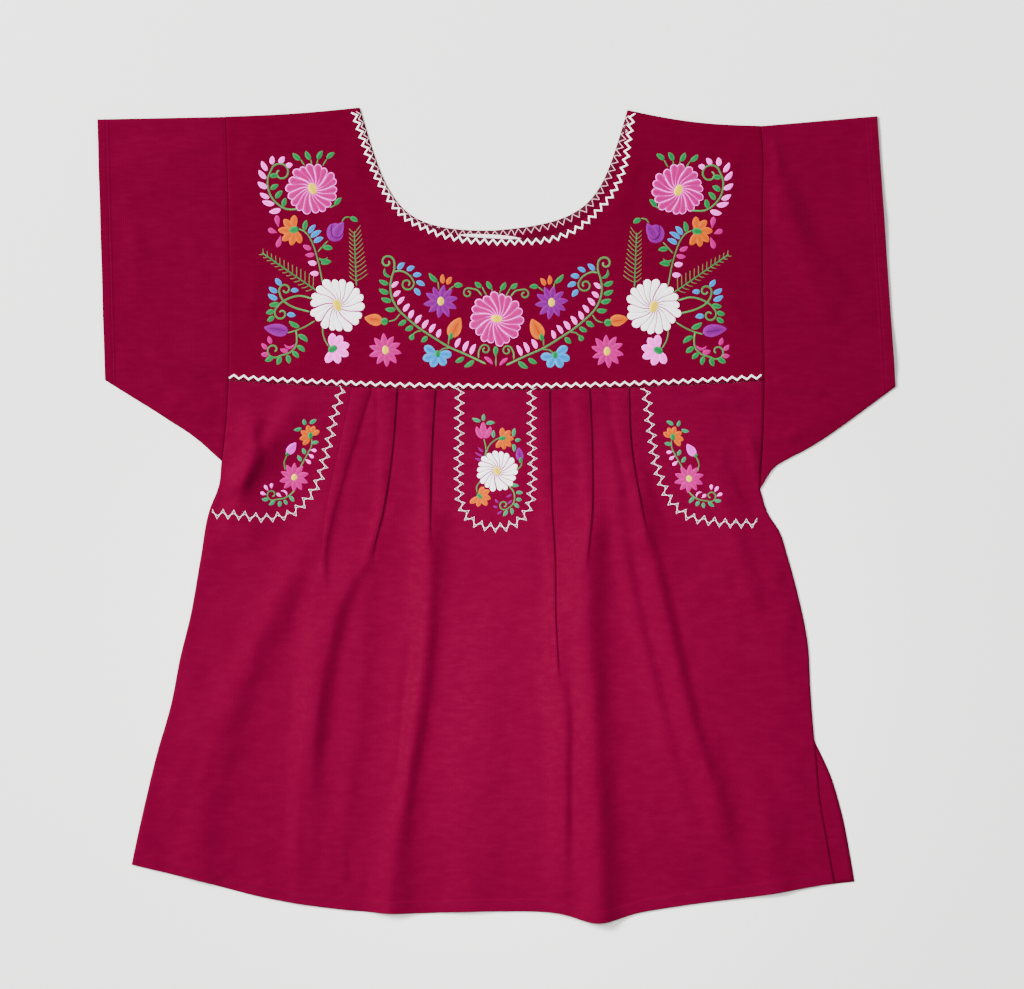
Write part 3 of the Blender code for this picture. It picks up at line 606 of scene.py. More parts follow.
def sectionNormals(points):
    step = np.gradient(points, axis=1)
    step[..., 1] = 0.0
    step /= np.maximum(np.linalg.norm(step, axis=2), 1e-9)[..., None]
    return np.stack([-step[..., 2], np.zeros(step.shape[:2]), step[..., 0]], axis=2)


def makeFrontPanel():
    grid = frontGrid()
    x = grid[..., 0]
    y = grid[..., 1]
    edge = insideSides(x, y)
    below = seamY(x) - y
    slitTop = backSlit["y"][0]
    fade = ease(0.0, panelGrid["edgeFade"], edge) * ease(0.0, panelGrid["topFade"], below)
    nearFade = ease(-1.0, panelGrid["creaseEdgeFade"], edge) * ease(-1.0, panelGrid["creaseTopFade"], below)
    creased = creaseLift(x, y, panelCreases) + ripple(x, y, panelRipples)
    lift = foldLift(x, y) * fade + creased * nearFade
    lift = np.maximum(lift, -panelSet["sink"] + panelSet["sinkLess"] * ease(-2.0, 0.0, lift))
    # Small puckers where the gathers are sewn in
    pucker = panelSet["pucker"] * np.sin(x / panelSet["puckerLength"] + 1.3 * np.sin(x / 17.0))
    pucker = np.maximum(pucker * ease(panelSet["puckerReach"], 2.0, below), -panelSet["puckerSink"])
    grid[..., 2] += cloth["panelMiddle"] + lift + pucker * ease(0.0, 3.0, below)
    besideSlit = ease(panelSet["slitReach"], 1.0, bodyEdge("right", y) - x)
    grid[..., 2] -= panelSet["slitDrop"] * besideSlit * ease(slitTop + 3.0, slitTop - 9.0, y)
    outward = sectionNormals(grid)
    sewn = np.where(x > 0, panelSet["sewnRight"], panelSet["sewnLeft"])
    sewn = sewn * ease(panelSet["sewnReach"], 0.0, edge) * (y > slitTop)
    thick = cloth["pleatHalfWall"] + hemRelief(y - y[-1:, :], panelSet) - sewn
    top = grid + outward * thick[..., None]
    under = grid - outward * cloth["pleatHalfWall"]
    piece = finishShell("frontPanelCloth", top, under, bodyCotton, ("front_panel",))
    return piece


# Back panel: hidden but for its strip past the open side slit, and its underside is flat
backSet = {"columns": 150, "rows": 110, "top": 0.88, "under": 0.02, "hemFold": 9.0, "hemStep": 0.9,
           "hemThick": 0.12, "hemGroove": 0.2, "grooveIn": 1.6, "grooveReach": 0.8}


def makeBackPanel():
    shares = np.unique(np.r_[np.linspace(0.0, 1.0, backSet["rows"]), panelRows()])
    grid = []
    for share in shares:
        sideY = float(seamY(corner["shoulderLeft"][0]))
        leftY = (1 - share) * sideY + share * hem["back"][0]
        rightY = (1 - share) * sideY + share * hem["back"][-1]
        leftX = float(bodyEdge("left", leftY))
        rightX = float(bodyEdge("right", rightY))
        if rightY < backSlit["y"][0]:
            rightX = float(smoothThrough(backSlit["y"], backSlit["x"], rightY))
        f = np.linspace(0.0, 1.0, backSet["columns"])
        topLeft = float(bodyEdge("left", foldHeights[0]))
        topX = topLeft * (1 - f) + float(bodyEdge("right", foldHeights[0])) * f
        lowX = hem["x"][0] * (1 - f) + backSlit["x"][-1] * f
        grid.append(np.column_stack([leftX * (1 - f) + rightX * f, panelY(share, topX, lowX, "back")]))
    grid = np.array(grid)
    x = grid[..., 0]
    y = grid[..., 1]
    slitEdge = np.where(y < backSlit["y"][0], x[:, -1:] - x, np.inf)
    nearest = np.minimum(y - y[-1:, :], slitEdge)
    top = np.dstack([x, y, backSet["top"] + hemRelief(nearest, backSet)])
    under = np.dstack([x, y, np.full(x.shape, backSet["under"])])
    piece = finishShell("backPanelCloth", top, under, bodyCotton, ("back_panel",))
    return piece


# Yokes: the front one is embroidered, the back one shows only inside the neck
yokeSet = {"sideSteps": 60, "seamSteps": 130, "rings": 64, "neckSteps": 600, "cornerShare": 0.3,
           "sagLeft": 1.2, "sagRight": 3.2, "sagShare": 0.08, "sink": 0.12, "neckRoll": 0.3,
           "rollReach": 1.2, "sewnReach": 3.2, "sideFade": 10.0, "neckFade": 8.0, "backTop": 0.9,
           "backUnder": 0.02}
yokeCreases = (
    (((-205, 300), (-190, 280), (-186, 250)), 0.9, 8.0, 8.0),
    (((-206, 150), (-196, 168), (-192, 200)), 0.8, 6.0, 8.0),
    (((200, 300), (186, 276), (178, 240)), 0.9, 8.0, 8.0),
    (((203, 142), (190, 160), (186, 196)), 0.8, 7.0, 7.0),
    (((-120, 300), (-112, 270), (-96, 236)), 0.7, 7.0, 6.0),
    (((112, 296), (104, 262), (88, 232)), 0.7, 7.0, 6.0),
    (((-70, 205), (-30, 196), (20, 198)), 0.5, 7.0, 7.0),
    (((-60, 122), (-20, 118), (30, 122)), 0.5, 6.0, 6.0),
    (((-196, 118), (-170, 116), (-140, 120)), 0.6, 6.0, 6.0),
)
yokeRipples = ((0.16, 46.0, 20.0, 0.2), (0.13, 29.0, -30.0, 1.1), (0.10, 19.0, 70.0, 2.6),
               (0.07, 12.0, 5.0, 0.5))


def yokeGrid(side):
    # Rings of points from the neck edge out to the armholes and the yoke seam
    topLeft = np.array(corner["shoulderLeft"])
    topRight = np.array(corner["shoulderRight"])
    steps = yokeSet["sideSteps"]
    leftY = np.linspace(topLeft[1], float(seamY(topLeft[0])) + cloth["gap"] / 2, steps)
    rightY = np.linspace(float(seamY(topRight[0])) + cloth["gap"] / 2, topRight[1], steps)
    leftSide = np.column_stack([bodyEdge("left", leftY), leftY])
    rightSide = np.column_stack([bodyEdge("right", rightY), rightY])
    seamX = np.linspace(leftSide[-1, 0], rightSide[0, 0], yokeSet["seamSteps"])
    seam = np.column_stack([seamX, seamY(seamX) + cloth["gap"] / 2])
    outer = np.vstack([leftSide, seam[1:-1], rightSide])
    share = yokeSet["cornerShare"]
    shares = np.r_[np.linspace(0.0, share, steps),
                   np.linspace(share, 1 - share, yokeSet["seamSteps"])[1:-1],
                   np.linspace(1 - share, 1.0, steps)]
    fine = evenPath(neckLine(side), yokeSet["neckSteps"])
    places = np.linspace(0, 1, yokeSet["neckSteps"])
    inner = np.column_stack([np.interp(shares, places, fine[:, axis]) for axis in (0, 1)])
    mix = np.linspace(0.0, 1.0, yokeSet["rings"])[:, None, None]
    plan = inner[None] * (1 - mix) + outer[None] * mix
    sag = yokeSet["sagLeft"] * ease(yokeSet["sagShare"], 0.0, shares)
    sag += yokeSet["sagRight"] * ease(1 - yokeSet["sagShare"], 1.0, shares)
    plan[:, :, 1] -= sag * np.sin(np.pi * mix[:, :, 0])
    return plan


# How far the cloth is drawn down at each armhole seam, in mm
armholeDrop = {"left": 0.36, "right": 0.16}


def makeFrontYoke():
    plan = yokeGrid("front")
    x = plan[..., 0]
    y = plan[..., 1]
    edge = insideSides(x, y)
    toNeck = np.linalg.norm(plan - plan[:1], axis=2)
    fade = ease(0.0, yokeSet["sideFade"], edge) * ease(0.0, yokeSet["sideFade"], y - seamY(x))
    fade = fade * ease(0.0, yokeSet["neckFade"], toNeck)
    lift = (creaseLift(x, y, yokeCreases) + ripple(x, y, yokeRipples)) * fade
    lift = np.maximum(lift, -yokeSet["sink"])
    sewn = np.where(x > 0, armholeDrop["right"], armholeDrop["left"]) * ease(yokeSet["sewnReach"], 0.0, edge)
    rolled = yokeSet["neckRoll"] * ease(yokeSet["rollReach"], 0.0, toNeck)
    middle = cloth["frontMiddle"]
    top = np.dstack([x, y, middle + cloth["halfWall"] + lift - sewn - rolled])
    under = np.dstack([x, y, middle - cloth["halfWall"] + lift])
    piece = finishShell("frontYokeCloth", top, under, yokeCotton, ("front_yoke",))
    return piece


def makeBackYoke():
    plan = yokeGrid("back")
    x = plan[..., 0]
    y = plan[..., 1]
    toNeck = np.linalg.norm(plan - plan[:1], axis=2)
    rolled = yokeSet["neckRoll"] * ease(yokeSet["rollReach"], 0.0, toNeck)
    top = np.dstack([x, y, yokeSet["backTop"] - rolled])
    under = np.dstack([x, y, np.full(x.shape, yokeSet["backUnder"])])
    # Its cloth is painted darker, as shade inside the neck opening.
    piece = finishShell("backYokeCloth", top, under, backYokePaintedShadeCotton, ("back_yoke",))
    return piece


# Sleeves: each a flattened tube folded along the shoulder, open at the cuff
sleeveSet = {
    "rows": 64, "under": 44, "upper": 110, "turnHeights": (0.10, 0.32, 0.68, 0.90), "edgeIn": 0.1,
    "hemRows": (9.6, 9.0, 8.4, 7.6, 7.0, 6.2, 4.0, 2.0, 0.8), "seamRows": (0.8, 1.8),
    "hemFold": 8.5, "hemStep": 0.8, "hemThick": 0.40, "hemGroove": 0.28, "grooveIn": 1.4, "grooveReach": 0.7,
    "foldOutFade": 0.16, "foldUpFade": 0.08, "creaseOutFade": 0.12, "creaseUpFade": 0.05,
    "sink": 0.05, "area": {"left": 0.0500, "right": 0.0520},
}
lowEdge = {"out": (0.0, 0.08, 0.18, 0.30, 0.45, 0.60, 0.75, 0.90, 1.0),
           "left": (0.0, 0.8, 2.2, 2.8, 2.1, 1.7, 0.9, 0.3, 0.0),
           "right": (0.0, 8.6, 8.4, 5.4, 2.8, 1.6, 1.0, 0.4, 0.0)}
sleeveFolds = {
    "left": ((0.86, 0.80, 0.07, 1.6, 0.5), (0.50, 0.55, 0.09, 1.3, 0.8), (0.12, 0.26, 0.07, 1.8, 0.4)),
    "right": ((0.93, 0.12, 0.08, 2.0, 0.3), (0.55, 0.62, 0.10, 1.4, 0.8), (0.10, -0.10, 0.08, 1.6, 0.4)),
}
sleeveCreases = {
    "left": (
        (((-222, 300), (-250, 292), (-300, 298)), 0.9, 6.0, 7.0),
        (((-220, 250), (-250, 262), (-300, 256)), 0.7, 7.0, 7.0),
        (((-219, 210), (-246, 200), (-290, 212)), -0.6, 7.0, 7.0),
        (((-220, 120), (-244, 118), (-286, 132)), 1.1, 6.0, 8.0),
        (((-222, 84), (-240, 84), (-268, 96)), 1.2, 5.0, 6.0),
        (((-290, 150), (-286, 190), (-292, 240)), 0.6, 8.0, 8.0),
    ),
    "right": (
        (((217, 292), (228, 240), (245, 200), (269, 160), (288, 140)), 3.4, 9.0, 13.0),
        (((216, 306), (224, 284), (220, 262)), 1.3, 4.0, 4.0),
        (((214, 286), (222, 270), (216, 252)), -0.8, 3.0, 3.5),
        (((216, 200), (240, 186), (276, 150)), 0.9, 7.0, 7.0),
        (((217, 110), (240, 104), (270, 96)), 1.0, 6.0, 6.0),
        (((216, 70), (228, 62), (246, 66)), 1.1, 4.0, 5.0),
        (((300, 230), (294, 260), (286, 296)), 0.8, 7.0, 7.0),
    ),
}
sleeveRipples = ((0.22, 44.0, 35.0, 0.8), (0.16, 27.0, -20.0, 2.0), (0.10, 16.0, 60.0, 1.2))


def sleeveFade(out, up, outFade, upFade):
    # Folds die away at the armhole and at both long edges
    return ease(0.0, outFade, out) * ease(0.0, upFade, up) * ease(1.0, 1 - upFade, up)


def sleeveLift(side, out, up):
    # Long soft folds from the armhole to the cuff, by shares of the way out and up
    lift = np.zeros(np.shape(up))
    for upIn, upOut, reach, height, grows in sleeveFolds[side]:
        away = (up - upIn) * (1 - out) + (up - upOut) * out
        lift += height * np.exp(-(away / reach) ** 2) * ease(0.0, grows, out)
    return lift * sleeveFade(out, up, sleeveSet["foldOutFade"], sleeveSet["foldUpFade"])


def sleeveRing(side, out, length):
    # The flattened tube's middle line at a share of the way out, with its normals and outer thickness
    title = side.capitalize()
    shoulder = np.array(corner["shoulder" + title])
    armpit = np.array(corner["armpit" + title])
    top = shoulder * (1 - out) + np.array(corner["cuffTop" + title]) * out
    low = armpit * (1 - out) + np.array(corner["cuffLow" + title]) * out
    low = low + np.array([0.0, float(smoothThrough(lowEdge["out"], lowEdge[side], out))])
    span = float(np.linalg.norm(top - low))
    turns = np.array(sleeveSet["turnHeights"])
    bulge = cloth["layer"] / 2 / span
    ends = np.sqrt(1 - (2 * turns - 1) ** 2) * bulge
    inset = cloth["halfWall"] / span + sleeveSet["edgeIn"] / span + bulge
    underShare = np.linspace(0.0, 1.0, sleeveSet["under"])
    upperShare = np.linspace(1.0, 0.0, sleeveSet["upper"])
    up = np.r_[inset + underShare * (1 - 2 * inset), 1 - inset + ends,
               inset + upperShare * (1 - 2 * inset), inset - ends[::-1]]
    height = np.r_[np.zeros(len(underShare)), turns, np.ones(len(upperShare)), turns[::-1]]
    height = height * cloth["layer"] + cloth["backMiddle"]
    plan = low[None] * (1 - up[:, None]) + top[None] * up[:, None]
    bow = (bodyEdge(side, plan[:, 1]) - (shoulder[0] * up + armpit[0] * (1 - up))) * (1 - out)
    sign = -1.0 if side == "left" else 1.0
    plan[:, 0] += bow + sign * cloth["seamLine"] * (1 - out)
    first = len(underShare) + len(turns)
    upper = slice(first, first + len(upperShare))
    upperX = plan[upper, 0]
    upperY = plan[upper, 1]
    extra = creaseLift(upperX, upperY, sleeveCreases[side]) + ripple(upperX, upperY, sleeveRipples)
    settle = sleeveFade(out, up[upper], sleeveSet["creaseOutFade"], sleeveSet["creaseUpFade"])
    lift = sleeveLift(side, out, up[upper]) + extra * settle
    height[upper] += np.maximum(lift, -sleeveSet["sink"])
    around = np.column_stack([up * span, height])
    step = np.roll(around, -1, axis=0) - np.roll(around, 1, axis=0)
    step /= np.linalg.norm(step, axis=1)[:, None]
    normal = np.column_stack([step[:, 1:] * ((top - low) / span)[None], -step[:, 0]])
    thick = np.full(len(up), cloth["halfWall"])
    sewn = armholeDrop[side] * ease(yokeSet["sewnReach"], 0.0, out * length)
    thick[upper] += hemRelief((1 - out) * length, sleeveSet) - sewn
    return np.column_stack([plan, height]), normal, thick[:, None]


def makeSleeve(side):
    title = side.capitalize()
    length = math.dist(corner["cuffTop" + title], corner["shoulder" + title])
    hemRows = 1 - np.array(sleeveSet["hemRows"]) / length
    seamRows = np.array(sleeveSet["seamRows"]) / length
    outs = np.unique(np.r_[np.linspace(0.0, 1.0, sleeveSet["rows"]), hemRows, seamRows])
    rings = [sleeveRing(side, out, length) for out in outs]
    outer = [ring + normal * thick for ring, normal, thick in rings]
    inner = [ring - normal * cloth["halfWall"] for ring, normal, thick in rings]
    faces = shellFaces(len(outs), len(outer[0]), ring=True)
    piece = finishPiece("sleeve" + title + "Cloth", np.vstack(outer + inner), faces, sleeveCotton,
                        ("sleeve_" + side,))
    return piece


frontPanel = makeFrontPanel()
backPanel = makeBackPanel()
print("panels made:", len(frontPanel.data.polygons), len(backPanel.data.polygons))
frontYoke = makeFrontYoke()
backYoke = makeBackYoke()
sleeves = [makeSleeve(side) for side in ("left", "right")]
print("yokes and sleeves made")


# Surface under the needle: where the stitches lie
def surfaceOf(pieces):
    verts = []
    faces = []
    for piece in pieces:
        start = len(verts)
        verts += [v.co.copy() for v in piece.data.vertices]
        faces += [tuple(start + i for i in p.vertices) for p in piece.data.polygons]
    return BVHTree.FromPolygons(verts, faces)


clothSurface = surfaceOf([frontPanel, backPanel, frontYoke, backYoke] + sleeves)


def surfaceHeight(points):
    heights = np.zeros(len(points))
    down = Vector((0.0, 0.0, -1.0))
    for i, (x, y) in enumerate(points):
        hit = clothSurface.ray_cast(Vector((x * mm, y * mm, 0.08)), down)[0]
        heights[i] = 0.0 if hit is None else hit.z / mm
    return heights


# Stitched shapes: every petal, leaf, stem and stroke is a raised ribbon of thread along a spine
threadWork = {}
ribbonSet = {
    "relief": 0.7,        # how much of each stitch's height stands above the cloth
    "sunk": 0.12,         # how deep its edges lie in the cloth
    "leastHalf": 0.12,
    "mitre": 0.55,
}
acrossPlaces = np.array([-1.0, -0.62, 0.0, 0.62, 1.0])
profiles = {"satin": np.array([0.0, 0.74, 1.0, 0.74, 0.0]), "flat": np.array([0.2, 1.0, 1.0, 1.0, 0.2]),
            "cord": np.array([0.0, 1.0, 0.62, 1.0, 0.0])}


def addRibbon(colour, spine, halfWidths, height, lift=0.0, profile="satin"):
    spine = np.asarray(spine, dtype=float)
    halfWidths = np.maximum(np.asarray(halfWidths, dtype=float), ribbonSet["leastHalf"])
    along = headings(spine)
    side = leftOf(along)
    leg = np.diff(spine, axis=0)
    leg /= np.maximum(np.linalg.norm(leg, axis=1), 1e-9)[:, None]
    turn = np.r_[(along[:-1] * leg).sum(axis=1), 1.0]
    mitred = halfWidths / np.clip(turn, ribbonSet["mitre"], 1.0)
    count = len(spine)
    plan = spine[:, None] + side[:, None] * (mitred[:, None] * acrossPlaces[None])[..., None]
    fullness = np.minimum(1.0, 1.6 * halfWidths / halfWidths.max())
    rise = ribbonSet["relief"] * height * fullness[:, None] * profiles[profile][None] + lift
    run = np.r_[0.0, np.cumsum(np.linalg.norm(np.diff(spine, axis=0), axis=1))]
    uv = np.stack([np.repeat(run[:, None], 5, axis=1), halfWidths[:, None] * acrossPlaces[None]], axis=2)
    rim = np.maximum(np.abs(acrossPlaces)[None] * np.ones((count, 1)),
                     np.abs(np.linspace(-1.0, 1.0, count))[:, None] ** 3)
    empty = {"plan": [], "rise": [], "uv": [], "rim": [], "faces": [], "count": 0}
    work = threadWork.setdefault(colour, empty)
    index = work["count"] + np.arange(count * 5).reshape(count, 5)
    for j in range(4):
        work["faces"] += list(zip(index[:-1, j], index[1:, j], index[1:, j + 1], index[:-1, j + 1]))
    work["faces"] += list(zip(index[:-1, 0], index[:-1, 4], index[1:, 4], index[1:, 0]))
    work["faces"] += [tuple(index[0]), tuple(index[-1][::-1])]
    work["plan"].append(plan.reshape(-1, 2))
    work["rise"].append(rise.reshape(-1))
    work["uv"].append(uv.reshape(-1, 2))
    work["rim"].append(rim.reshape(-1))
    work["count"] += count * 5


def placed(points, flip):
    # Places from the photograph's frame, on the left as given or mirrored to the right
    points = np.array(points, dtype=float).reshape(-1, 2)
    if flip:
        points = np.column_stack([flip[0] - points[:, 0], points[:, 1] + flip[1]])
    return np.array([spot(px, py) for px, py in points])


def bowedSpine(start, end, bend, count):
    # A straight line from start to end, bowed sideways by a share of its length
    t = np.linspace(0.0, 1.0, count)[:, None]
    line = np.asarray(start) * (1 - t) + np.asarray(end) * t
    run = np.asarray(end) - np.asarray(start)
    return line + np.array([-run[1], run[0]]) * bend * 4 * t * (1 - t)


# How high each kind of stitching stands in mm, how far hand work strays, and how finely it is drawn
stitchSet = {"leafHeight": 0.62, "petalHeight": 0.7, "budHeight": 0.72, "stray": (0.94, 1.06),
             "leafSteps": 9, "petalSteps": 10, "stemStep": 1.6, "curlSteps": 26}


def leaf(colour, start, end, width, flip=None, bend=0.08):
    # An almond of satin stitch, widest a little before its middle
    points = placed((start, end), flip)
    turn = -bend if flip else bend
    spine = bowedSpine(points[0], points[1], turn, stitchSet["leafSteps"])
    t = np.linspace(0.0, 1.0, stitchSet["leafSteps"])
    shape = np.sin(math.pi * t ** 0.86) ** 0.72
    halfWidths = width / 2 * shape * random.uniform(*stitchSet["stray"])
    addRibbon(colour, spine, halfWidths, stitchSet["leafHeight"])


def drop(colour, start, end, width, flip=None):
    # A leaf that starts thin and is full near its end
    points = placed((start, end), flip)
    t = np.linspace(0.0, 1.0, stitchSet["leafSteps"])
    shape = np.sin(math.pi * t ** 1.7) ** 0.8 + 0.12 * (1 - t)
    spine = bowedSpine(points[0], points[1], 0.03, stitchSet["leafSteps"])
    addRibbon(colour, spine, width / 2 * shape, stitchSet["leafHeight"])


def stem(colour, points, flip=None, width=1.15, height=0.55, curl=None):
    # A line of stem stitch, which may end in a curl
    path = placed(points, flip)
    path = roundedPath(path, max(4, int(pathLength(path) / stitchSet["stemStep"])))
    if curl:
        centre = placed((curl[0],), flip)[0]
        arm = path[-1] - centre
        startAngle = math.atan2(arm[1], arm[0])
        turn = math.radians(curl[1]) * (-1 if flip else 1)
        t = np.linspace(0.0, 1.0, stitchSet["curlSteps"])[1:]
        radius = np.hypot(*arm) * (1 - t) + curl[2] * photo["pixel"] * t
        angle = startAngle + turn * t
        curled = np.column_stack([np.cos(angle), np.sin(angle)]) * radius[:, None]
        path = np.vstack([path, centre + curled])
    widths = np.full(len(path), width / 2)
    widths[0] *= 0.5
    widths[-1] *= 0.5
    addRibbon(colour, path, widths, height)


def oval(colour, middle, wide, long, turn, flip=None, height=1.0, lift=0.0):
    # An oval worked across its length
    centre = placed((middle,), flip)[0]
    a = math.radians(turn) * (-1 if flip else 1)
    run = np.array([math.sin(a), math.cos(a)]) * long * photo["pixel"] / 2
    t = np.linspace(-1.0, 1.0, 11)
    halfWidths = wide * photo["pixel"] / 2 * np.sqrt(np.maximum(0, 1 - t ** 2))
    addRibbon(colour, centre + t[:, None] * run, halfWidths, height, lift)


# Petals reach from the heart, sweep round by an angle in radians, and end in a round tip
swirlSet = {"ground": 0.74, "groundHeight": 0.4, "heart": 2.0, "sweep": 0.58, "sweepStart": 0.28,
            "stray": 0.12, "gap": 0.46, "tip": 1.45, "straight": 0.72, "least": 0.15}


def swirlDaisy(middle, radius, petals, rimColour, petalColour, rim, flip=None):
    # Round petals that sweep round the centre, each worked over a ground of the outline's colour.
    # The rim is how much of that ground shows past the petals' ends.
    centre = placed((middle,), flip)[0]
    outerR = radius * photo["pixel"]
    hand = -1 if flip else 1
    t = np.linspace(-1.0, 1.0, 15)
    ground = outerR * swirlSet["ground"]
    addRibbon(rimColour, centre + np.column_stack([np.zeros(15), ground * t]),
              ground * np.sqrt(np.maximum(0.0, 1 - t ** 2)), swirlSet["groundHeight"], 0.0, "flat")
    reaches = outerR * random.uniform(*stitchSet["stray"], petals)
    stray = random.uniform(-swirlSet["stray"], swirlSet["stray"], petals)
    angles = 2 * math.pi * (np.arange(petals) + stray) / petals
    straight = swirlSet["straight"]
    rounding = np.sin(np.linspace(0.0, math.pi / 2, 9)[1:])
    t = np.r_[np.linspace(0.0, straight, 9), straight + (1 - straight) * rounding]
    for layer, colour in enumerate((rimColour, petalColour)):
        for k in range(petals):
            gap = (np.roll(angles, -1)[k] - np.roll(angles, 1)[k]) % (2 * math.pi) / 4
            length = reaches[k] - rim * layer
            r = swirlSet["heart"] + (length - swirlSet["heart"]) * t
            swept = swirlSet["sweep"] * np.sin(math.pi / 2 * t) - swirlSet["sweepStart"]
            angle = angles[k] + hand * swept
            spine = centre + np.column_stack([np.cos(angle), np.sin(angle)]) * r[:, None]
            tip = gap * reaches[k] - swirlSet["gap"] * layer
            tipLength = swirlSet["tip"] * tip
            roundOff = np.maximum(0.0, r - (length - tipLength)) / tipLength
            cap = tip * np.sqrt(np.maximum(0.0, 1 - roundOff ** 2))
            widths = np.minimum(gap * r * 1.02 - swirlSet["gap"] * layer, cap)
            addRibbon(colour, spine, np.maximum(widths, swirlSet["least"]), 0.34 + 0.1 * layer,
                      0.1 + 0.28 * layer, "satin" if layer else "flat")


def pointedDaisy(middle, radius, petals, colour, turn=0.0, flip=None):
    # Narrow petals that stand apart and come to a point
    centre = placed((middle,), flip)[0]
    t = np.linspace(0.0, 1.0, stitchSet["petalSteps"])
    shape = 0.66 * np.sin(math.pi * t ** 0.9) ** 0.7 * (1.15 - 0.3 * t)
    for k in range(petals):
        angle = 2 * math.pi * k / petals + math.radians(turn) + random.uniform(-0.05, 0.05)
        reach = radius * photo["pixel"] * random.uniform(*stitchSet["stray"])
        heading = np.array([math.cos(angle), math.sin(angle)])
        spine = bowedSpine(centre + heading * 1.5, centre + heading * reach, 0.03, len(t))
        addRibbon(colour, spine, math.pi / petals * reach * shape, stitchSet["petalHeight"])


def eye(middle, wide, long, turn, flip=None):
    # Yellow middle, worked over itself so that it stands highest
    oval("yellow", middle, wide, long, turn, flip, height=1.0, lift=0.35)


def halfFlower(colour, middle, tips, width, calyx, calyxTurn, flip=None, blunt=1.15):
    # A flower seen from the side: fat petals that fan out from a green calyx
    t = np.linspace(0.0, 1.0, stitchSet["petalSteps"])
    shape = np.sin(math.pi * t ** blunt) ** 0.6
    for tip in tips:
        points = placed((middle, tip), flip)
        spine = bowedSpine(points[0], points[1], 0.04, len(t))
        addRibbon(colour, spine, width / 2 * shape, stitchSet["petalHeight"])
    oval("green", middle, calyx[0], calyx[1], calyxTurn, flip, height=0.9, lift=0.35)


threadWidth = {"leaf": 4.5, "paleLeaf": 4.8, "middleLeaf": 4.2, "small": 3.3, "smallDrop": 3.0, "plum": 2.1}

# Left and right groups of the yoke, drawn once and mirrored. Places are in the photograph's frame: a leaf
# is its foot and its tip, and a curl is a stem's path, its width, and the centre, turn and last radius.
yokeSide = {
    "pale": ((273, 165, 273, 156), (280, 164, 285, 157), (286, 167, 293, 165), (268, 171, 262, 161),
             (267, 179, 259, 170), (268, 188, 258, 182), (270, 198, 260, 193), (275, 204, 262, 201),
             (281, 209, 269, 212), (317, 263, 308, 262), (319, 273, 310, 273)),
    "green": ((270, 177, 279, 176), (271, 190, 279, 185), (276, 199, 283, 191), (284, 207, 286, 198),
              (305, 231, 307, 220), (323, 248, 333, 249), (321, 264, 332, 262), (279, 303, 269, 305),
              (274, 310, 266, 313), (274, 316, 267, 321), (300, 327, 289, 321), (298, 335, 308, 342),
              (297, 346, 305, 352), (292, 352, 299, 358), (287, 355, 289, 364), (280, 356, 277, 365),
              (273, 356, 265, 361), (301, 160, 293, 153), (311, 160, 306, 151), (318, 160, 323, 151),
              (327, 159, 335, 153), (335, 206, 342, 198), (350, 218, 358, 222)),
    "pink": ((312, 249, 303, 245), (315, 254, 305, 255), (272, 344, 269, 336), (268, 349, 262, 343),
             (269, 354, 261, 354), (289, 351, 280, 349)),
    "blue": ((309, 234, 316, 225), (311, 238, 322, 231), (314, 243, 324, 238), (282, 285, 276, 278),
             (278, 292, 269, 287), (278, 299, 268, 294), (291, 291, 299, 291), (287, 315, 296, 316)),
    "stems": (((301, 160), (305, 166)), ((311, 160), (312, 165)), ((318, 160), (317, 165)),
              ((327, 159), (323, 166)), ((336, 205), (330, 208)), ((342, 222), (345, 218), (350, 217)),
              ((299, 229), (305, 232), (310, 238), (314, 247), (318, 260), (323, 284)),
              ((328, 241), (318, 252)), ((288, 333), (295, 331), (305, 327), (315, 321)),
              ((323, 327), (323, 333), (325, 340), (329, 347))),
    "curls": ((((302, 209), (286, 209), (271, 196), (268, 180), (273, 167)), 1.5, ((281, 173), -380, 2.8)),
              (((313, 299), (300, 296), (288, 299), (280, 304), (276, 309)), 1.5,
               ((281.5, 313.5), 370, 1.6)),
              (((310, 312), (293, 307), (286, 303), (281, 297), (279.5, 292)), 1.5,
               ((285.5, 290), -370, 1.6)),
              (((296, 330), (297, 338), (296, 346), (291, 352), (280, 356)), 1.4, ((274, 350), -370, 1.6))),
}


def addLeaves(places, colour, width, flip=None, shape=leaf):
    for x0, y0, x1, y1 in places:
        shape(colour, (x0, y0), (x1, y1), width, flip)


def addStems(group, flip=None, width=1.15):
    for points in group["stems"]:
        stem("vine", points, flip, width)
    for points, wide, curl in group["curls"]:
        stem("vine", points, flip, wide, curl=curl)


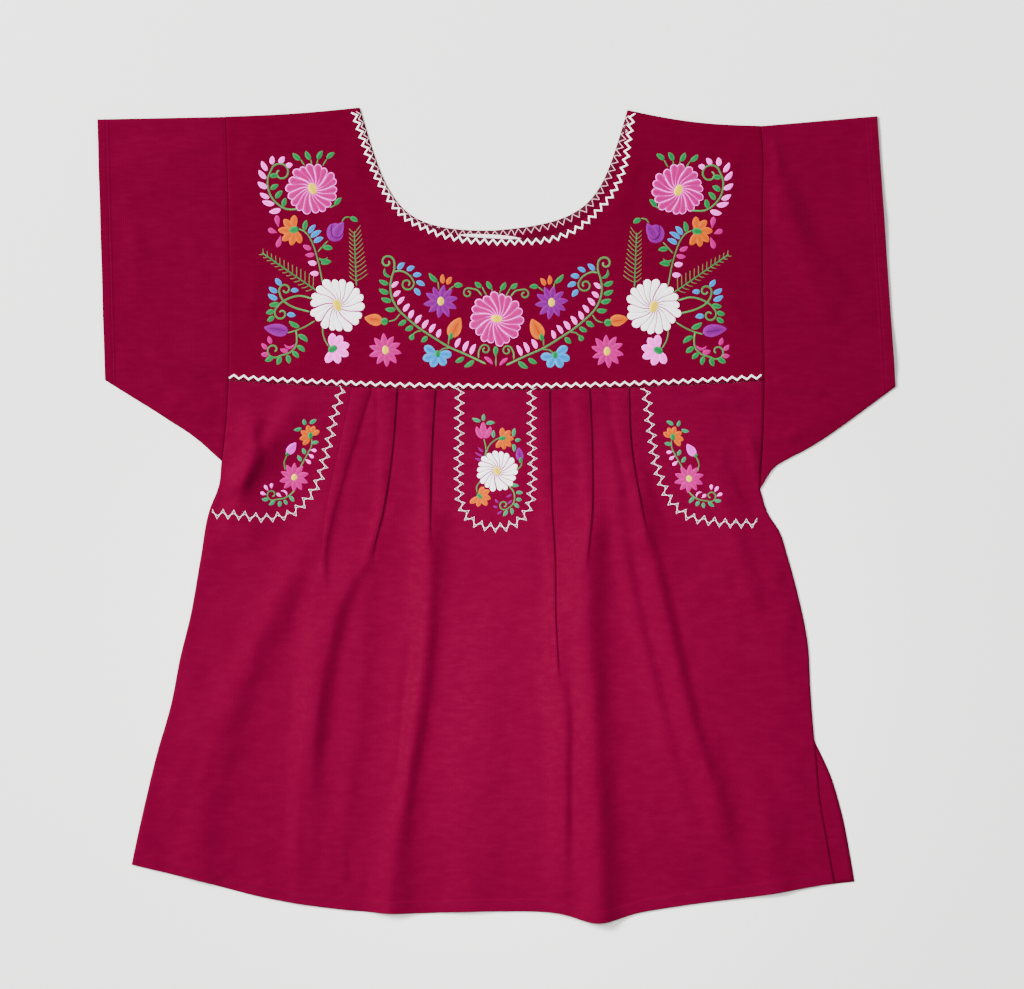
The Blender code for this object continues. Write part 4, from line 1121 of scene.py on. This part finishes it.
def sideGroup(flip):
    for colour, table, width in (("palePink", "pale", "paleLeaf"), ("green", "green", "leaf"),
                                 ("hotPink", "pink", "leaf"), ("blue", "blue", "leaf")):
        addLeaves(yokeSide[table], colour, threadWidth[width], flip)
    addStems(yokeSide, flip)
    leaf("green", (319, 258), (328, 257), 2.6, flip, bend=-0.35)
    leaf("hotPink", (295, 344), (284, 344), 2.6, flip, bend=0.35)
    for start, end in (((279, 228), (277, 215)), ((278, 233), (268, 229)), ((281, 235), (277, 248))):
        drop("hotPink", start, end, 4.8, flip)
    ferns(flip)
    swirlDaisy((312.7, 189), 25.8, 18, "palePink", "hotPink", 0.8, flip)
    eye((312.7, 189), 8.0, 12.0, -22, flip)
    swirlDaisy((337.4, 305.4), 27.4, 18, "rosePink", "white", 0.1, flip)
    eye((337.4, 305.4), 8.0, 12.5, -18, flip)
    halfFlower("orange", (294, 230), ((295, 215), (284, 219), (278, 230), (282, 241), (291, 246),
                                      (301, 244)), 6.6, (7.2, 10), 80, flip)
    halfFlower("palePink", (333, 349), ((333, 333), (343, 336), (350, 345), (349, 356), (339, 364),
                                        (326, 363)), 7.4, (7.6, 10), 60, flip, 1.3)
    rose((335.3, 232.6), (344, 222), flip)
    bud("purple", (289, 331.4), (263.3, 327.2), 11.4, "deepPurple", flip)


fernSprigs = (
    {"from": (356.6, 286), "to": (354.4, 231.6), "pairs": 12,
     "left": ((-7.0, -5.0), (-5.2, -4.2)), "right": ((11.4, -7.2), (6.0, -7.6))},
    {"from": (318.4, 292), "to": (262.2, 253.0), "pairs": 13,
     "left": ((-7.6, 2.8), (-4.6, 0.4)), "right": ((0.4, -12.6), (-0.8, -5.0))},
)


def ferns(flip):
    # Two sprigs of short strokes on a straight stalk. Strokes are given at the stalk's foot and at its tip.
    for sprig in fernSprigs:
        start = np.array(sprig["from"])
        end = np.array(sprig["to"])
        stem("green", (start, end), flip, 1.1, 0.5)
        for k in range(sprig["pairs"]):
            far = k / (sprig["pairs"] - 1)
            foot = start + (end - start) * (0.09 + 0.88 * far)
            for hand in ("left", "right"):
                low, high = np.array(sprig[hand])
                stroke = low * (1 - far) + high * far
                middle = foot + stroke * 0.5 + np.array([0.0, 0.7])
                stem("fern", (foot, middle, foot + stroke), flip, 0.7, 0.4)


def rose(middle, tip, flip):
    # A side-on rose: a full round cup, with a wrapped bud rising out of it
    centre = np.array(middle)
    oval("purple", centre, 19.4, 19.6, 0, flip, height=0.7)
    inner = placed((centre + np.array([-0.6, 5.0]), tip), flip)
    shape = np.sin(math.pi * np.linspace(0.03, 1.0, 10) ** 0.74) ** 0.8
    addRibbon("purple", bowedSpine(inner[0], inner[1], 0.03, 10), 4.3 * shape, 0.45, 0.5)
    stem("deepPurple", (centre + np.array([-3.0, -8.8]), centre + np.array([-4.2, -1.6]),
                        centre + np.array([-1.4, 4.4]), centre + np.array([3.4, 5.2]),
                        centre + np.array([7.4, 1.4])), flip, 0.8, 1.1)


def bud(colour, start, tip, width, veinColour, flip, calyx=None):
    # A closed flower, with a vein of darker thread, in a calyx: its place, width, length and turn
    points = placed((start, tip), flip)
    t = np.linspace(0.0, 1.0, 11)
    shape = np.sin(math.pi * t ** 0.72) ** 0.8
    spine = bowedSpine(points[0], points[1], 0.02, len(t))
    addRibbon(colour, spine, width / 2 * shape, stitchSet["budHeight"])
    start = np.array(start, dtype=float)
    tip = np.array(tip, dtype=float)
    if veinColour:
        run = tip - start
        stem(veinColour, (start + run * 0.12, start + run * 0.72), flip, 0.6, 1.05)
    if calyx:
        oval("green", calyx[:2], calyx[2], calyx[3], calyx[4], flip, height=0.85, lift=0.3)


# Middle group of the yoke: one half drawn and mirrored, round a daisy on the centre line
yokeMiddle = {
    "pale": ((392, 288, 399, 282), (394, 297, 401, 291), (398, 305, 405, 297), (404, 312, 410, 304),
             (410, 319, 414, 310), (416, 324, 422, 315), (423, 329, 429, 320), (430, 333, 436, 324),
             (438, 338, 441, 329), (456, 348, 461, 338), (464, 352, 469, 341), (471, 355, 476, 344)),
    "green": ((389, 284, 379, 280), (389, 293, 379, 289), (392, 301, 381, 298), (396, 309, 385, 309),
              (406, 320, 398, 325), (413, 326, 405, 330), (427, 336, 421, 342), (464, 357, 455, 362),
              (474, 360, 464, 367), (438, 282, 429, 273), (454, 286, 463, 286), (482, 287, 475, 282),
              (492, 289, 487, 281)),
    "blue": ((398, 270, 405, 263), (407, 271, 415, 267), (413, 276, 422, 275), (416, 282, 425, 286),
             (414, 289, 420, 296)),
    "orange": ((443.5, 284, 443, 274), (447.5, 285, 452, 277)),
    "stems": (((439, 290), (438, 282)), ((449, 290), (454, 286)), ((482, 287), (487, 296)),
              ((492, 289), (492.5, 293)), ((400, 314), (395, 320), (389, 321.5)),
              ((448.5, 345), (449, 338)), ((450, 348), (442, 349.5), (438, 354)),
              ((422, 331), (416, 332), (413, 335))),
    "curls": ((((486, 364), (467, 355), (449, 347), (431, 336), (419, 328), (408, 319), (398, 309),
                (392.5, 299), (390.5, 286), (392, 277), (394.5, 269), (394.5, 263)), 1.6,
               ((387.3, 262.3), 400, 1.6)),
              (((394, 272), (400, 271), (406, 273), (411, 277), (414, 282)), 1.4, ((407.3, 284), -430, 1.8)),
              (((482, 296), (477, 290), (470, 288.5)), 1.3, ((468, 293.2), 390, 1.5)),
              (((478.5, 358.5), (479, 351), (481.2, 346.6)), 1.3, ((485.3, 349.6), -400, 1.5))),
}


def middleHalf(flip):
    for colour, table, width in (("palePink", "pale", "middleLeaf"), ("green", "green", "leaf"),
                                 ("blue", "blue", "leaf"), ("orange", "orange", "leaf")):
        addLeaves(yokeMiddle[table], colour, threadWidth[width], flip)
    leaf("green", (391, 277), (385, 268), 2.8, flip, bend=0.3)
    drop("green", (414, 333), (410, 340), 4.6, flip)
    addStems(yokeMiddle, flip)
    leaf("hotPink", (484, 357), (493, 365), 3.6, flip)
    pointedDaisy((440.8, 301.4), 17.2, 10, "purple", 8, flip)
    eye((440.8, 301.4), 6.4, 9.0, 0, flip)
    pointedDaisy((385.5, 350.2), 17.0, 10, "hotPink", 22, flip)
    eye((385.5, 350.2), 6.2, 9.0, -6, flip)
    bud("orange", (383, 321), (363.8, 317.6), 10.6, "deepOrange", flip, (384.5, 321.5, 7.0, 7.4, 90))
    bud("orange", (450.5, 338), (461.0, 317.0), 12.4, "deepOrange", flip, (451, 336, 4.6, 7.4, 10))
    halfFlower("blue", (437.5, 354), ((424.5, 346), (422.5, 359), (431, 367), (445, 366), (452, 355.5)), 7.4,
               (5.6, 7), 0, flip, 1.5)


# Small groups inside the stitched frames on the front panel
panelCentre = {
    "green": ((481, 421, 472, 418), (484, 421, 484, 414), (486, 424, 495, 423), (494, 438, 494, 430),
              (514, 437, 515, 428), (515, 441, 521, 440), (513, 444, 514, 452), (511, 486, 519, 486),
              (516, 493, 523, 493), (516, 500, 522, 500), (514, 504, 519, 508), (511, 508, 512, 515),
              (507, 510, 503, 516)),
    "plum": ((484, 452, 478, 447), (483, 456, 475, 452), (482, 460, 475, 458), (512, 494, 506, 497),
              (512, 500, 507, 504), (499, 503, 495, 499), (498, 507, 493, 506), (502, 511, 497, 514)),
    "stems": (((484, 439), (486, 449), (485, 457)), ((486, 454), (489, 446), (494, 441), (499, 438)),
              ((522, 462), (521, 466), (517, 470)), ((481, 481), (477, 486), (477, 493))),
    "curls": ((((509, 486), (513.5, 491.5), (514.6, 498.3), (512.7, 504.5), (507.3, 509)), 1.1,
               ((504, 505), -400, 1.5)),),
}


def centreGroup():
    addLeaves(panelCentre["green"], "mint", threadWidth["small"])
    addLeaves(panelCentre["plum"], "plum", threadWidth["plum"])
    addStems(panelCentre, None, 1.0)
    for start, end, width, bend in (((484, 438.5), (476.5, 426), 5.2, 0.1),
                                    ((484, 438.5), (490.5, 426), 5.2, -0.1),
                                    ((483.5, 438), (483, 421.5), 6.4, 0.0)):
        leaf("hotPink", start, end, width, None, bend)
    halfFlower("orange", (502.5, 438.3), ((502.7, 427.5), (511, 431), (514, 439), (511, 447), (504, 450),
                                          (496, 448)), 5.0, (4.6, 7.6), 75)
    halfFlower("orange", (479.5, 496), ((484, 486.5), (490, 490.5), (491, 499), (487, 506), (477.5, 507),
                                        (469.5, 503)), 5.0, (4.4, 6.6), -40)
    bud("purple", (520.5, 461), (518.8, 447), 7.0, "deepPurple", None, (520.8, 460.2, 3.4, 6.0, 0))
    swirlDaisy((497.2, 471), 20.2, 18, "rosePink", "white", 0.1)
    eye((497.2, 471), 6.6, 8.6, -30)


panelSide = {
    "green": ((306, 425, 304, 419), (310, 424, 317, 420), (302, 428, 294, 430), (312, 444, 319, 442),
              (306, 454, 303, 448), (302, 461, 298, 455), (289, 496, 294, 502), (284, 500, 287, 505),
              (280, 501, 279, 507), (275, 500, 269, 505), (269, 499, 262, 499)),
    "pale": ((310, 450, 317, 451), (308, 454, 314, 458), (305, 459, 311, 464), (267, 495, 261, 492),
             (269, 491, 265, 485), (272, 489, 272, 483), (282, 497, 277, 493)),
    "stems": (((312, 439), (311.5, 446), (308, 453.5), (300.5, 467)),
              ((285.5, 470), (284.5, 462), (287, 456))),
    "curls": ((((295, 490), (289.5, 495.5), (283.5, 498.5), (276, 499.6)), 1.1,
               ((272.5, 494.6), -390, 1.6)),),
}


def scallopGroup(flip):
    addLeaves(panelSide["green"], "mint", threadWidth["small"], flip)
    addLeaves(panelSide["pale"], "palePink", threadWidth["smallDrop"], flip, drop)
    leaf("palePink", (287, 496), (281, 491), 1.9, flip, bend=-0.3)
    addStems(panelSide, flip, 1.0)
    halfFlower("orange", (310.4, 435.5), ((308, 425), (315, 426), (320, 431), (301, 431), (299.5, 439),
                                          (303, 445)), 4.8, (5.0, 7.0), 10, flip)
    bud("lilac", (288, 454.5), (296.6, 442.2), 7.6, None, flip, (287.6, 454.2, 4.0, 3.4, 60))
    pointedDaisy((294.3, 477.3), 15.0, 10, "hotPink", 14, flip)
    eye((294.3, 477.3), 5.4, 6.8, 20, flip)


# How each group is mirrored: twice the middle's place across, and how much lower the right side lies
mirrorOf = {"yoke": (991.0, 1.5), "middle": (992.4, 1.2), "scallop": (983.2, 1.4)}
for flip in (None, mirrorOf["yoke"]):
    sideGroup(flip)
for flip in (None, mirrorOf["middle"]):
    middleHalf(flip)
swirlDaisy((496.6, 318.8), 26.6, 18, "palePink", "hotPink", 0.8)
eye((496.6, 318.8), 11.5, 7.6, 10)
drop("green", (496, 358), (496, 346), 4.4)
stem("vine", ((496, 366), (496, 357)), None, 1.2)
centreGroup()
for flip in (None, mirrorOf["scallop"]):
    scallopGroup(flip)
print("embroidery drawn:", {name: work["count"] for name, work in threadWork.items()})


# Frames of paired zigzag thread on the front panel. Each frame is two strands that share their legs
# and part at every corner.
zigzagSet = {"strand": 0.38, "strands": (7.5, 3.0), "height": 0.5, "uneven": 0.06}
framePeriod = {"left": 8.8, "middle": 8.05, "right": 8.6}
frames = {
    "left": ((342, 386), (338, 402), (333, 423), (329, 443), (325, 458), (320, 477), (312, 493),
             (302, 505), (290, 514), (270, 517.5), (240, 515.5), (212, 513.5)),
    "middle": ((459.5, 388), (459.3, 440), (459.3, 490), (461.5, 506), (468, 517), (480, 525),
               (495.5, 527.5), (510, 525.5), (522, 518), (529.5, 506), (531.7, 490), (531.7, 440),
               (531.7, 388)),
    "right": ((645, 388), (649, 416), (653, 446), (658, 472), (665, 491), (675, 506), (688, 516),
              (705, 520.5), (735, 523.5), (757, 523)),
}


def zigzagLine(guide, tall, period, steps=4):
    # A zigzag along a guide: every corner, and points between that let each leg lie on the cloth
    count = int(round(2 * pathLength(guide) / period))
    fine = evenPath(guide, 40 * count)
    side = leftOf(headings(fine))
    at = np.arange(count * steps + 1) / steps / count
    wave = np.interp((at * count) % 2.0, (0.0, 1.0, 2.0), (-1.0, 1.0, -1.0))
    uneven = 1 + zigzagSet["uneven"] * np.sin(at * count * 2.3 + 1.1 * np.sin(at * count * 0.37))
    index = np.clip((at * (len(fine) - 1)).astype(int), 0, len(fine) - 1)
    return fine[index] + side[index] * (tall / 2 * wave * uneven)[:, None]


for name, points in frames.items():
    guide = roundedPath(placed(points, None), 200)
    for tall in zigzagSet["strands"]:
        line = zigzagLine(guide, tall, framePeriod[name])
        addRibbon("stitchWhite", line, np.full(len(line), zigzagSet["strand"] / 2), zigzagSet["height"])
print("stitched frames drawn")

# Bold white zigzag trims along the front neck and the yoke seam
trimSet = {
    "neck": {"tall": 4.1, "period": 6.9, "half": 0.66},
    "seam": {"tall": 2.8, "period": 7.8, "half": 0.68, "rise": 3.0},
    "height": 0.9, "lift": 0.2, "neckSteps": 400,
}

# How far the neck trim lies in from the edge: share of the way round from the left shoulder, then inset
trimInset = ((0.0, 5.4), (0.07, 4.4), (0.16, 4.1), (0.21, 3.5), (0.26, 4.0), (0.34, 2.6), (0.43, 3.0),
             (0.50, 2.8), (0.56, 2.5), (0.62, 3.8), (0.69, 4.0), (0.75, 3.2), (0.81, 4.6), (0.88, 4.6),
             (0.93, 3.5), (1.0, 4.5))


def neckTrimPath(extra=0.0, share=1.0):
    # The front neck edge moved into the cloth by a share of the trim's inset and a fixed distance
    line = evenPath(neckLine("front"), trimSet["neckSteps"])
    shares, insets = np.array(trimInset).T
    inset = smoothThrough(shares, insets, np.linspace(0.0, 1.0, len(line))) * share + extra
    return line - inset[:, None] * leftOf(headings(line))


def trimGuide(which):
    if which == "neck":
        return evenPath(neckTrimPath(), 300)[2:-2]
    x = np.linspace(corner["shoulderLeft"][0] + 3.0, corner["shoulderRight"][0] + 1.0, 200)
    return np.column_stack([x, seamY(x) + trimSet["seam"]["rise"]])


# Dark binding on the middle of the front neck edge, under the zigzag, and along the back neck edge; its dark
# colour is painted shade along the neck edges
bindingSet = {"frontHalf": 1.5, "frontHeight": 0.3, "frontFrom": 150, "frontTo": 280,
              "backHalf": 1.6, "backHeight": 0.25, "backIn": 2.0, "lift": 0.1}
bindingPath = neckTrimPath(share=0.5)[bindingSet["frontFrom"]:bindingSet["frontTo"]]
bindingHalf = bindingSet["frontHalf"] * np.sin(np.linspace(0.0, math.pi, len(bindingPath))) ** 0.5
addRibbon("neckBinding", bindingPath, bindingHalf, bindingSet["frontHeight"], bindingSet["lift"], "flat")

for which in ("neck", "seam"):
    trim = trimSet[which]
    line = zigzagLine(trimGuide(which), trim["tall"], trim["period"], steps=6)
    halfWidths = np.full(len(line), trim["half"])
    addRibbon(which + "Trim", line, halfWidths, trimSet["height"], trimSet["lift"], "cord")

# Fine pinkish zigzag over the back neck edge, seen inside the opening. It is as tall as the band
# of the back yoke that shows past the front one.
backEdgeSet = {"period": 6.4, "tallest": 5.0, "least": 0.8, "half": 0.27, "height": 0.35, "lift": 0.25,
               "startIn": 0.4, "frontShows": 2.4, "steps": 4}


def addBackNeckStitch():
    edge = evenPath(neckLine("back"), trimSet["neckSteps"])
    frontEdge = evenPath(neckTrimPath(-backEdgeSet["frontShows"]), len(edge))
    away = np.array([np.min(np.hypot(*(frontEdge - point).T)) for point in edge])
    tall = np.clip(away, backEdgeSet["least"], backEdgeSet["tallest"])
    inward = -leftOf(headings(edge))
    steps = backEdgeSet["steps"]
    count = int(round(2 * pathLength(edge) / backEdgeSet["period"]))
    at = np.arange(steps, count * steps - steps) / (count * steps)
    wave = np.interp((at * count) % 2.0, (0.0, 1.0, 2.0), (0.0, 1.0, 0.0))
    index = (at * (len(edge) - 1)).astype(int)
    # A dark band along the back neck edge, its colour painted shade
    band = (edge + inward * bindingSet["backIn"])[8:-8]
    addRibbon("neckBinding", band, np.full(len(band), bindingSet["backHalf"]), bindingSet["backHeight"],
              bindingSet["lift"], "flat")
    line = edge[index] + inward[index] * (backEdgeSet["startIn"] + tall[index] * wave)[:, None]
    addRibbon("neckPink", line, np.full(len(line), backEdgeSet["half"]), backEdgeSet["height"],
              backEdgeSet["lift"])


addBackNeckStitch()


# Running stitches in crimson thread along the hem, the cuffs and both edges of the slit
runningSet = {"pitch": 3.7, "half": 0.24, "height": 0.3, "hemUp": 7.4, "slitIn": 7.0, "backIn": 6.5,
              "cuffIn": 7.2, "cuffTopShort": 2.5, "cuffLowShort": 6.5}


def addStitches(guide):
    # Each stitch takes five of the eight steps of its pitch, and cloth shows in the other three
    count = int(pathLength(guide) / runningSet["pitch"])
    fine = evenPath(guide, 8 * count + 1)
    for k in range(count):
        piece = fine[8 * k:8 * k + 6]
        addRibbon("crimson", piece[[0, 1, 2, 4, 5]], np.full(5, runningSet["half"]), runningSet["height"])


hemX = np.linspace(-289.0, 262.0, 300)
addStitches(np.column_stack([hemX, hemY(hemX, "front") + runningSet["hemUp"]]))
slitY = np.linspace(-188.0, -286.0, 80)
addStitches(np.column_stack([bodyEdge("right", slitY) - runningSet["slitIn"], slitY]))
backY = np.linspace(-232.0, -284.0, 40)
backX = smoothThrough(backSlit["y"], backSlit["x"], backY)
addStitches(np.column_stack([backX - runningSet["backIn"], backY]))
for side, sign in (("Left", 1.0), ("Right", -1.0)):
    cuff = np.array([corner["cuffTop" + side], corner["cuffLow" + side]])
    cuff[:, 0] += sign * runningSet["cuffIn"]
    cuff[0, 1] -= runningSet["cuffTopShort"]
    cuff[1, 1] += runningSet["cuffLowShort"]
    addStitches(evenPath(cuff, 60))
print("trims and seams stitched")

# Stranded cotton floss, satin stitched: a soft gloss in fine parallel lines, paler at the rim
flossSet = {
    "lineGap": 0.95,      # floss strands are 0.4 mm wide, drawn coarser so that they show
    "lineDepth": 0.22,
    "slant": 58,
    "patchScale": 420.0,  # patches a few millimetres wide, where the floss catches the light
    "roughness": 0.5,
    "specular": 0.05,
}
# Each thread's deep and pale colour
flossColours = {
    "white": ("#f4f1f7", "#fffdff"), "hotPink": ("#900058", "#ac0c7c"), "palePink": ("#e83cc8", "#ff80e8"),
    "rosePink": ("#98006a", "#a81c80"), "orange": ("#a43c00", "#c46010"),
    "deepOrange": ("#741c00", "#882800"), "purple": ("#58005e", "#78127e"),
    "deepPurple": ("#300030", "#40003e"), "lilac": ("#c020b0", "#e450d4"), "plum": ("#5c0054", "#7c1070"),
    "blue": ("#005ca2", "#0c96d8"), "green": ("#00582a", "#188a48"), "mint": ("#00643e", "#289a6c"),
    "vine": ("#205c2e", "#4c9650"), "fern": ("#385828", "#6c8c54"), "yellow": ("#c4a000", "#ecd400"),
    # The neck binding's colours are darkened as painted shade
    "crimson": ("#40021a", "#500422"), "neckBinding": ("#3a0116", "#40031a"),
    "stitchWhite": ("#f0e4f0", "#ffffff"), "neckPink": ("#e088a0", "#ffd4dc"),
    "neckTrim": ("#fbfafc", "#ffffff"), "seamTrim": ("#fbfafc", "#ffffff"),
}


def makeFloss(name, deepHex, paleHex):
    material, tree = newMaterial(name)
    uv = addNode(tree, "UVMap", {"uv_map": "stitch"}).outputs["UV"]
    slanted = addNode(tree, "Mapping", None,
                      {"Vector": uv, "Rotation": (0.0, 0.0, math.radians(flossSet["slant"]))})
    lines = addNode(tree, "TexWave", {"wave_type": "BANDS", "bands_direction": "X"},
                    {"Vector": slanted.outputs["Vector"], "Scale": waveLength / flossSet["lineGap"],
                     "Distortion": 0.8, "Detail": 1.0})
    place = addNode(tree, "TexCoord").outputs["Object"]
    shade = addNode(tree, "TexNoise", None,
                    {"Vector": place, "Scale": flossSet["patchScale"], "Detail": 2.0})
    rim = addNode(tree, "Attribute", {"attribute_name": "rim"})
    toRim = addNode(tree, "MapRange", None,
                    {"Value": rim.outputs["Fac"], "From Min": 0.25, "From Max": 1.0, "To Max": 0.8})
    mixed = addNode(tree, "Math", {"operation": "MULTIPLY_ADD", "use_clamp": True},
                    {0: shade.outputs["Fac"], 1: 0.5, 2: toRim.outputs["Result"]})
    pale = addNode(tree, "Math", {"operation": "MULTIPLY_ADD", "use_clamp": True},
                   {0: lines.outputs["Fac"], 1: 0.25, 2: mixed.outputs["Value"]})
    share = addNode(tree, "Math", {"operation": "SUBTRACT", "use_clamp": True},
                    {0: pale.outputs["Value"], 1: 0.25})
    colour = addNode(tree, "Mix", {"data_type": "RGBA"},
                     {"Factor": share.outputs["Value"], "A": toLinear(deepHex), "B": toLinear(paleHex)})
    bump = addNode(tree, "Bump", None,
                   {"Height": lines.outputs["Fac"], "Strength": 0.5, "Distance": flossSet["lineDepth"] * mm})
    shader = addNode(tree, "BsdfPrincipled", None,
                     {"Base Color": colour.outputs["Result"], "Normal": bump.outputs["Normal"],
                      "Roughness": flossSet["roughness"], "IOR": 1.53,
                      "Specular IOR Level": flossSet["specular"]})
    addNode(tree, "OutputMaterial", None, {"Surface": shader.outputs["BSDF"]})
    return material


def makeThreadPiece(colour, work):
    plan = np.vstack(work["plan"])
    rise = np.concatenate(work["rise"])
    height = surfaceHeight(plan)
    verts = np.column_stack([plan, height + rise - ribbonSet["sunk"]])
    replaced = {"neckTrim": ("neck_braid",), "seamTrim": ("yoke_braid",)}.get(colour, ())
    title = colour[0].upper() + colour[1:]
    piece = finishPiece("thread" + title, verts, work["faces"],
                        makeFloss("floss" + title, *flossColours[colour]), replaced)
    uv = np.vstack(work["uv"])
    layer = piece.data.uv_layers.new(name="stitch")
    corners = np.zeros(len(piece.data.loops), dtype=np.int32)
    piece.data.loops.foreach_get("vertex_index", corners)
    layer.data.foreach_set("uv", uv[corners].astype(np.float32).ravel())
    # Each ribbon's two long edges are creases, so that its top is shaded by itself
    ends = np.zeros(len(piece.data.edges) * 2, dtype=np.int32)
    piece.data.edges.foreach_get("vertices", ends)
    column = ends.reshape(-1, 2) % 5
    creased = (column[:, 0] == column[:, 1]) & np.isin(column[:, 0], (0, 4))
    piece.data.attributes.new("sharp_edge", "BOOLEAN", "EDGE").data.foreach_set("value", creased)
    rim = piece.data.attributes.new("rim", "FLOAT", "POINT")
    rim.data.foreach_set("value", np.concatenate(work["rim"]).astype(np.float32))
    return piece


for colour, work in threadWork.items():
    makeThreadPiece(colour, work)
print("threads laid on the cloth")

# Blank woven tape inside the back neck, which tips out of sight at both its ends
labelSet = {"left": (459.0, 235.2), "middle": (490.0, 236.6), "right": (521.5, 239.0), "tall": 3.6,
            "thick": 0.4, "base": 1.3, "rib": 1.2, "ribDepth": 0.2, "along": 60, "across": 9}


def makeLabel():
    # Ribbed taffeta tape: a dull white with fine ribs across it
    material, tree = newMaterial("wovenTapeWhite")
    place = addNode(tree, "TexCoord").outputs["Object"]
    ribs = addNode(tree, "TexWave", {"bands_direction": "X"},
                   {"Vector": place, "Scale": waveLength / (labelSet["rib"] * mm), "Distortion": 0.4})
    colour = addNode(tree, "Mix", {"data_type": "RGBA"},
                     {"Factor": ribs.outputs["Fac"], "A": toLinear("#d9cfd2"), "B": toLinear("#f3eef0")})
    bump = addNode(tree, "Bump", None,
                   {"Height": ribs.outputs["Fac"], "Strength": 0.4,
                    "Distance": labelSet["ribDepth"] * mm})
    shader = addNode(tree, "BsdfPrincipled", None,
                     {"Base Color": colour.outputs["Result"], "Normal": bump.outputs["Normal"],
                      "Roughness": 0.6, "IOR": 1.5})
    addNode(tree, "OutputMaterial", None, {"Surface": shader.outputs["BSDF"]})
    line = roundedPath([spot(*labelSet[end]) for end in ("left", "middle", "right")], labelSet["along"])
    share = np.linspace(-1.0, 1.0, labelSet["along"])
    half = labelSet["tall"] / 2 * (0.12 + 0.88 * (1 - share ** 4) * (0.85 + 0.15 * share))
    across = np.linspace(1.0, -1.0, labelSet["across"])[:, None]
    gridX = np.repeat(line[None, :, 0], labelSet["across"], axis=0)
    gridY = line[None, :, 1] + across * half[None]
    edge = half[None] * (1 - np.abs(across))
    thick = labelSet["thick"] * (0.45 + 0.55 * ease(0.0, 0.9, edge))
    top = np.dstack([gridX, gridY, labelSet["base"] + thick])
    under = np.dstack([gridX, gridY, np.full(gridX.shape, labelSet["base"])])
    piece = finishShell("neckTape", top, under, material, ("neck_label",))


makeLabel()
print("tape made")

# Pale floor and soft studio light, a little stronger from the upper left
studio = {
    "floor": 9.0, "floorColour": "#f6f5f4", "skyStrength": 0.8,
    "key": {"place": (-3.2, 2.0, 3.9), "size": 1.7, "power": 910.0},
    "pool": {"place": (-0.5, 0.5, 3.6), "aim": (0.0, -0.13, 0.0), "reach": 0.28, "soft": 0.2,
             "power": 860.0},
    "fill": {"place": (1.6, -1.2, 2.6), "size": 2.4, "power": 10.0},
}


def makeFloor():
    bpy.ops.mesh.primitive_plane_add(size=studio["floor"], location=(0.0, 0.0, 0.0))
    floor = bpy.context.object
    floor.name = "floor"
    material, tree = newMaterial("paleFloor")
    shader = addNode(tree, "BsdfPrincipled", None,
                     {"Base Color": toLinear(studio["floorColour"]), "Roughness": 0.9})
    addNode(tree, "OutputMaterial", None, {"Surface": shader.outputs["BSDF"]})
    floor.data.materials.append(material)


def hangLight(data, spec, aim):
    data.energy = spec["power"]
    light = bpy.data.objects.new(data.name, data)
    light.location = spec["place"]
    light.rotation_euler = (Vector(aim) - Vector(spec["place"])).to_track_quat("-Z", "Y").to_euler()
    bpy.context.scene.collection.objects.link(light)


def makeLight(name, spec):
    data = bpy.data.lights.new(name, "AREA")
    data.size = spec["size"]
    hangLight(data, spec, (0.0, 0.0, 0.0))


def makePool(spec):
    # A soft spot that lights the middle of the body a little more than the rest
    data = bpy.data.lights.new("poolLight", "SPOT")
    data.spot_size = 2 * math.atan(spec["reach"] / math.dist(spec["aim"], spec["place"]))
    data.spot_blend = 1.0
    data.shadow_soft_size = spec["soft"]
    hangLight(data, spec, spec["aim"])


def makeWorld():
    world = bpy.data.worlds.new("studio")
    world.use_nodes = True
    sky = world.node_tree.nodes["Background"]
    sky.inputs["Color"].default_value = (1.0, 1.0, 1.0, 1.0)
    sky.inputs["Strength"].default_value = studio["skyStrength"]
    bpy.context.scene.world = world


makeFloor()
makeLight("keyLight", studio["key"])
makeLight("fillLight", studio["fill"])
makePool(studio["pool"])
makeWorld()
print("studio lit")
